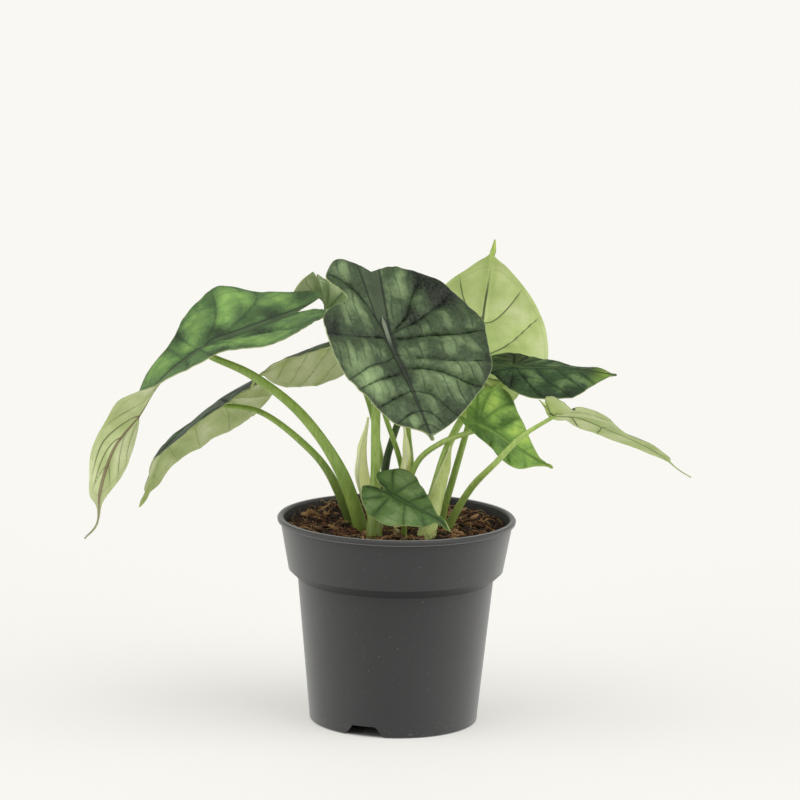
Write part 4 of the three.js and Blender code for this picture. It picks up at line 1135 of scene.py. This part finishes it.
def buildPot():
    # one vertex walked up the profile by extrusion, then spun
    profile = [(r * mm, z * mm) for r, z in potProfile()]
    bpy.ops.mesh.primitive_plane_add(size=1)
    body = named("potBody")
    bpy.ops.object.mode_set(mode="EDIT")
    bpy.ops.mesh.select_all(action="SELECT")
    bpy.ops.mesh.merge(type="CENTER")
    bpy.ops.transform.translate(value=(profile[0][0], 0, profile[0][1]))
    for (r, z), (nextR, nextZ) in zip(profile, profile[1:]):
        move = {"value": (nextR - r, 0, nextZ - z)}
        bpy.ops.mesh.extrude_vertices_move(TRANSFORM_OT_translate=move)
    bpy.ops.mesh.select_all(action="SELECT")
    bpy.ops.mesh.spin(steps=144, angle=2 * math.pi, center=(0, 0, 0), axis=(0, 0, 1))
    bpy.ops.mesh.select_all(action="SELECT")
    bpy.ops.mesh.remove_doubles(threshold=0.01 * mm)
    bpy.ops.mesh.normals_make_consistent(inside=False)
    bpy.ops.object.mode_set(mode="OBJECT")

    cutters = []
    for i in range(3):
        bpy.ops.mesh.primitive_cube_add(size=1)
        cutter = named("notchCutter")
        block = vertexPlaces(cutter)
        width = np.where(block[:, 2] > 0, pot["notchTop"], pot["notchBottom"] + 3.4)
        block[:, 0] *= width
        block[:, 1] = block[:, 1] * 12 - pot["footRadius"] + 1
        block[:, 2] = np.where(block[:, 2] > 0, pot["notchHeight"], -1)
        moveVertices(cutter, block * mm)
        turn = math.radians(pot["firstNotch"] + 90 + 120 * i)
        cutter.data.transform(Matrix.Rotation(turn, 4, "Z"))
        cutters.append(cutter)
    for i in range(6):
        bpy.ops.mesh.primitive_cylinder_add(vertices=32, radius=pot["drainRadius"] * mm, depth=10 * mm)
        drill = named("drainDrill")
        turn = Matrix.Rotation(math.radians(60 * i), 4, "Z")
        drill.data.transform(turn @ Matrix.Translation((pot["drainCircle"] * mm, 0, pot["floor"] * mm)))
        cutters.append(drill)
    cutter = joinPieces(cutters, "potCutters")
    boolean = body.modifiers.new("cut", "BOOLEAN")
    boolean.operation = "DIFFERENCE"
    boolean.solver = "EXACT"
    boolean.object = cutter
    applyModifiers(body)
    bpy.data.objects.remove(cutter)
    smooth(body, 35)
    body.data.materials.append(potMaterial("potPlastic", 0.3, 0.34))
    body.data.materials.append(innerWallMaterial())
    body.data.materials.append(potMaterial("potShoulder", 0.15, 0.05))  # in the collar's shade
    collar = potHeight - pot["collarDepth"]
    for face in body.data.polygons:
        height = face.center.z / mm
        facesAxis = face.normal.x * face.center.x + face.normal.y * face.center.y < 0
        if facesAxis and height < potHeight - 1.5:
            face.material_index = 1
        elif not facesAxis and collar - pot["shoulderDrop"] < height < collar:
            face.material_index = 2
    finishPiece(body, "pot_plastic", "pot")


buildPot()
print("pot made")


# The soil: a rough bed of coir with bark chips and fibres on it

def soilMaterial():
    mat, tree, shader = startMaterial("soilCoir")
    place = objectPlace(tree)
    clods = noiseAt(tree, place, 260, 5, 0.7)
    grain = noiseAt(tree, place, 1300, 4, 0.7)
    tone = sums(tree, "ADD", sums(tree, "MULTIPLY", clods, 0.6), sums(tree, "MULTIPLY", grain, 0.45))
    stops = [(0.36, rgb(10, 6, 3)), (0.52, rgb(40, 24, 12)), (0.66, rgb(92, 58, 30)), (0.8, rgb(150, 106, 66))]
    tree.links.new(ramp(tree, tone, stops), shader.inputs["Base Color"])
    shader.inputs["Roughness"].default_value = 0.92
    addBump(tree, shader, grain, 0.8, 1.0)
    return mat


def barkMaterial(name, dark, light):
    mat, tree, shader = startMaterial(name)
    place = objectPlace(tree)
    grain = noiseAt(tree, place, 700, 5, 0.7, 1.5)
    colour = ramp(tree, grain, [(0.3, dark), (0.7, light)])
    tree.links.new(colour, shader.inputs["Base Color"])
    shader.inputs["Roughness"].default_value = 0.85
    addBump(tree, shader, grain, 0.6, 0.5)
    return mat


soilLow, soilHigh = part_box("soil")
soil = {"level": 97, "chips": 340, "fibres": 760, "seed": 8}
soilRadius = rimRadius - pot["lipWidth"] - 1.6


def soilHeight(x, y):
    # banked up towards the back, most at the left
    banked = float(ease(np.array(y), -15, soilRadius)) * (2.4 + 3 * float(ease(np.array(-x), -10, 40)))
    return (soil["level"] + banked + 0.9 * math.sin(0.19 * x + 1) * math.cos(0.23 * y)
            + 0.5 * math.sin(0.41 * x - 0.33 * y))


def buildSoil():
    bpy.ops.mesh.primitive_circle_add(vertices=160, radius=1, fill_type="NGON")
    bed = named("soilBed")
    bpy.ops.object.mode_set(mode="EDIT")
    bpy.ops.mesh.select_all(action="SELECT")
    for ring in range(34):
        bpy.ops.mesh.inset(thickness=0.028)
    bpy.ops.mesh.poke()
    bpy.ops.object.mode_set(mode="OBJECT")
    flat = vertexPlaces(bed)
    places = []
    for x, y, _ in flat * soilRadius:
        rough = noise.fractal(Vector((x, y, 3)) / 5, 0.6, 2.2, 5)
        edge = ease(np.array(math.hypot(x, y)), soilRadius - 4, soilRadius)
        places.append((x, y, soilHeight(x, y) + 2.2 * rough * (1 - 0.5 * float(edge)) - 0.4))
    moveVertices(bed, np.array(places) * mm)
    # the bed goes down beside the wall, as the filling does
    bpy.ops.object.mode_set(mode="EDIT")
    bpy.ops.mesh.select_all(action="DESELECT")
    bpy.ops.mesh.select_non_manifold()
    bpy.ops.mesh.extrude_edges_move(TRANSFORM_OT_translate={"value": (0, 0, -8 * mm)})
    bpy.ops.transform.resize(value=(0.985, 0.985, 1), center_override=(0, 0, 0))
    bpy.ops.mesh.fill_holes(sides=0)
    bpy.ops.mesh.select_all(action="SELECT")
    bpy.ops.mesh.normals_make_consistent(inside=False)
    bpy.ops.object.mode_set(mode="OBJECT")
    bed.data.materials.append(soilMaterial())
    smooth(bed, 80)
    finishPiece(bed, "soil", "soil")


def scatterPlaces(count, maker):
    # even over the disc, clear of the wall
    found = []
    while len(found) < count:
        r = soilRadius * math.sqrt(maker.random()) * 0.965
        turn = maker.uniform(0, 2 * math.pi)
        found.append((r * math.cos(turn), r * math.sin(turn)))
    return found


def buildChips(name, count, size, finishes, seed):
    maker = random.Random(seed)
    bpy.ops.mesh.primitive_ico_sphere_add(subdivisions=2, radius=1)
    model = named("chipModel")
    template = vertexPlaces(model)
    pieces = []
    for x, y in scatterPlaces(count, maker):
        chip = bpy.data.objects.new("chip", model.data.copy())
        bpy.context.scene.collection.objects.link(chip)
        shift = Vector([maker.uniform(0, 50) for _ in range(3)])
        lumpy = [Vector(p) * (1 + 0.45 * noise.noise(Vector(p) * 1.3 + shift)) for p in template]
        moveVertices(chip, lumpy)
        long = size * maker.uniform(0.5, 1.2)
        stretch = Matrix.Diagonal((long, long * maker.uniform(0.35, 0.7), long * maker.uniform(0.18, 0.4), 1))
        lie = Euler((maker.gauss(0, 0.35), maker.gauss(0, 0.35), maker.uniform(0, 6.3))).to_matrix().to_4x4()
        rest = Matrix.Translation((x, y, soilHeight(x, y) + 0.25 * long))
        chip.data.transform(Matrix.Scale(mm, 4) @ rest @ lie @ stretch)
        chip.data.materials.clear()
        chip.data.materials.append(maker.choice(finishes))
        pieces.append(chip)
    bpy.data.objects.remove(model)
    made = joinPieces(pieces, name)
    smooth(made, 40)
    finishPiece(made, "soil")


def buildFibres(name, count, finishes, seed):
    maker = random.Random(seed)
    pieces = []
    for x, y in scatterPlaces(count, maker):
        turn = maker.uniform(0, 2 * math.pi)
        length = maker.uniform(4, 14)
        bend = maker.gauss(0, 1.5)
        points = []
        for i in range(5):
            x += length / 4 * math.cos(turn)
            y += length / 4 * math.sin(turn)
            turn += bend / 3 + maker.gauss(0, 0.25)
            far = math.hypot(x, y) / (soilRadius - 1)
            if far > 1:
                x, y = x / far, y / far
            points.append([x, y, soilHeight(x, y) + 1 + 2 * maker.random() * math.sin(math.pi * i / 4)])
        bpy.ops.mesh.primitive_grid_add(x_subdivisions=3, y_subdivisions=6, size=2)
        fibre = named("fibre")
        flat = vertexPlaces(fibre)
        share = (flat[:, 1] + 1) / 2
        ahead = tangentAt(points, share)
        side = unit(np.cross(ahead, [0, 0, 1]))
        other = np.cross(ahead, side)
        radius = maker.uniform(0.08, 0.2) * (1 - 0.75 * np.abs(2 * share - 1) ** 3)
        ring = flat[:, 0] * np.pi
        places = splineAt(points, share) + side * (radius * np.cos(ring))[:, None]
        places += other * (radius * np.sin(ring))[:, None]
        moveVertices(fibre, places * mm)
        fibre.data.materials.append(maker.choice(finishes))
        pieces.append(fibre)
    made = joinPieces(pieces, name)
    editAll(made, lambda: bpy.ops.mesh.remove_doubles(threshold=0.002 * mm))
    smooth(made, 80)
    finishPiece(made, "soil")


buildSoil()
barkFinishes = [
    barkMaterial("barkDark", rgb(20, 12, 7), rgb(54, 33, 20)),
    barkMaterial("barkRed", rgb(52, 28, 15), rgb(108, 64, 37)),
    barkMaterial("barkPale", rgb(124, 86, 54), rgb(190, 148, 104)),
]
buildChips("soilChips", soil["chips"], 3, barkFinishes[:2] + barkFinishes[:2] + barkFinishes[2:], soil["seed"])
straw = barkMaterial("strawPale", rgb(170, 128, 84), rgb(224, 188, 138))
buildFibres("soilFibres", soil["fibres"], barkFinishes[1:] + [straw], soil["seed"] + 1)
print("soil made")


# Floor, light and camera

def buildStage():
    bpy.ops.mesh.primitive_plane_add(size=60)
    ground = named("paleFloor")
    mat, tree, shader = startMaterial("paleFloor")
    shader.inputs["Base Color"].default_value = (0.45, 0.444, 0.42, 1)
    shader.inputs["Emission Color"].default_value = (1, 0.992, 0.955, 1)
    # painted shadow: the floor's glow fades out under the pot's foot, so the foot stays dark
    place = objectPlace(tree)
    away = addNode(tree, "ShaderNodeVectorMath", {"operation": "LENGTH"}, {0: place}).outputs["Value"]
    edge = pot["footRadius"] * mm
    tree.links.new(span(tree, away, edge - 4 * mm, edge + 1 * mm, 0, 0.4), shader.inputs["Emission Strength"])
    shader.inputs["Roughness"].default_value = 0.7
    shader.inputs["Specular IOR Level"].default_value = 0.2
    ground.data.materials.append(mat)
    world = bpy.data.worlds.new("studio")
    bpy.context.scene.world = world
    world.use_nodes = True
    backdrop = world.node_tree.nodes["Background"]
    backdrop.inputs["Color"].default_value = (1, 0.99, 0.965, 1)
    # the room is bright all round but in front
    sky = world.node_tree
    parts = addNode(sky, "ShaderNodeSeparateXYZ", None, {0: addNode(sky, "ShaderNodeTexCoord").outputs["Generated"]})
    sky.links.new(span(sky, parts.outputs[1], -0.95, -0.55, 0.2, 0.55), backdrop.inputs["Strength"])


# suns with a wide disc, so the light is soft and even over the whole floor
lamps = [
    {"name": "softTop", "from": (0.1, -0.3, 1), "spread": 50, "power": 0.95},
    {"name": "softLeft", "from": (-1, -0.35, 0.35), "spread": 80, "power": 1.7},
    {"name": "softRight", "from": (1, -0.35, 0.35), "spread": 80, "power": 1.9},
]


def buildLight(spec):
    bpy.ops.object.light_add(type="SUN", location=spec["from"])
    lamp = named(spec["name"])
    lamp.data.angle = math.radians(spec["spread"])
    lamp.data.energy = spec["power"]
    lamp.rotation_euler = (-Vector(spec["from"])).to_track_quat("-Z", "Y").to_euler()


view = {"place": (0, -1.9, 0.49987), "tilt": 79.957, "roll": 1.034, "turn": -0.0187, "lens": 173.67}


def buildCamera():
    bpy.ops.object.camera_add(location=view["place"])
    camera = named("photoView")
    look = Matrix.Rotation(math.radians(view["turn"]), 4, "Z")
    look @= Matrix.Rotation(math.radians(view["tilt"]), 4, "X")
    look @= Matrix.Rotation(math.radians(view["roll"]), 4, "Z")
    camera.rotation_euler = look.to_euler()
    camera.data.lens = view["lens"]
    camera.data.sensor_width = 36
    bpy.context.scene.camera = camera


buildStage()
for spec in lamps:
    buildLight(spec)
buildCamera()
bpy.context.scene.view_settings.view_transform = "Standard"
print("stage set")
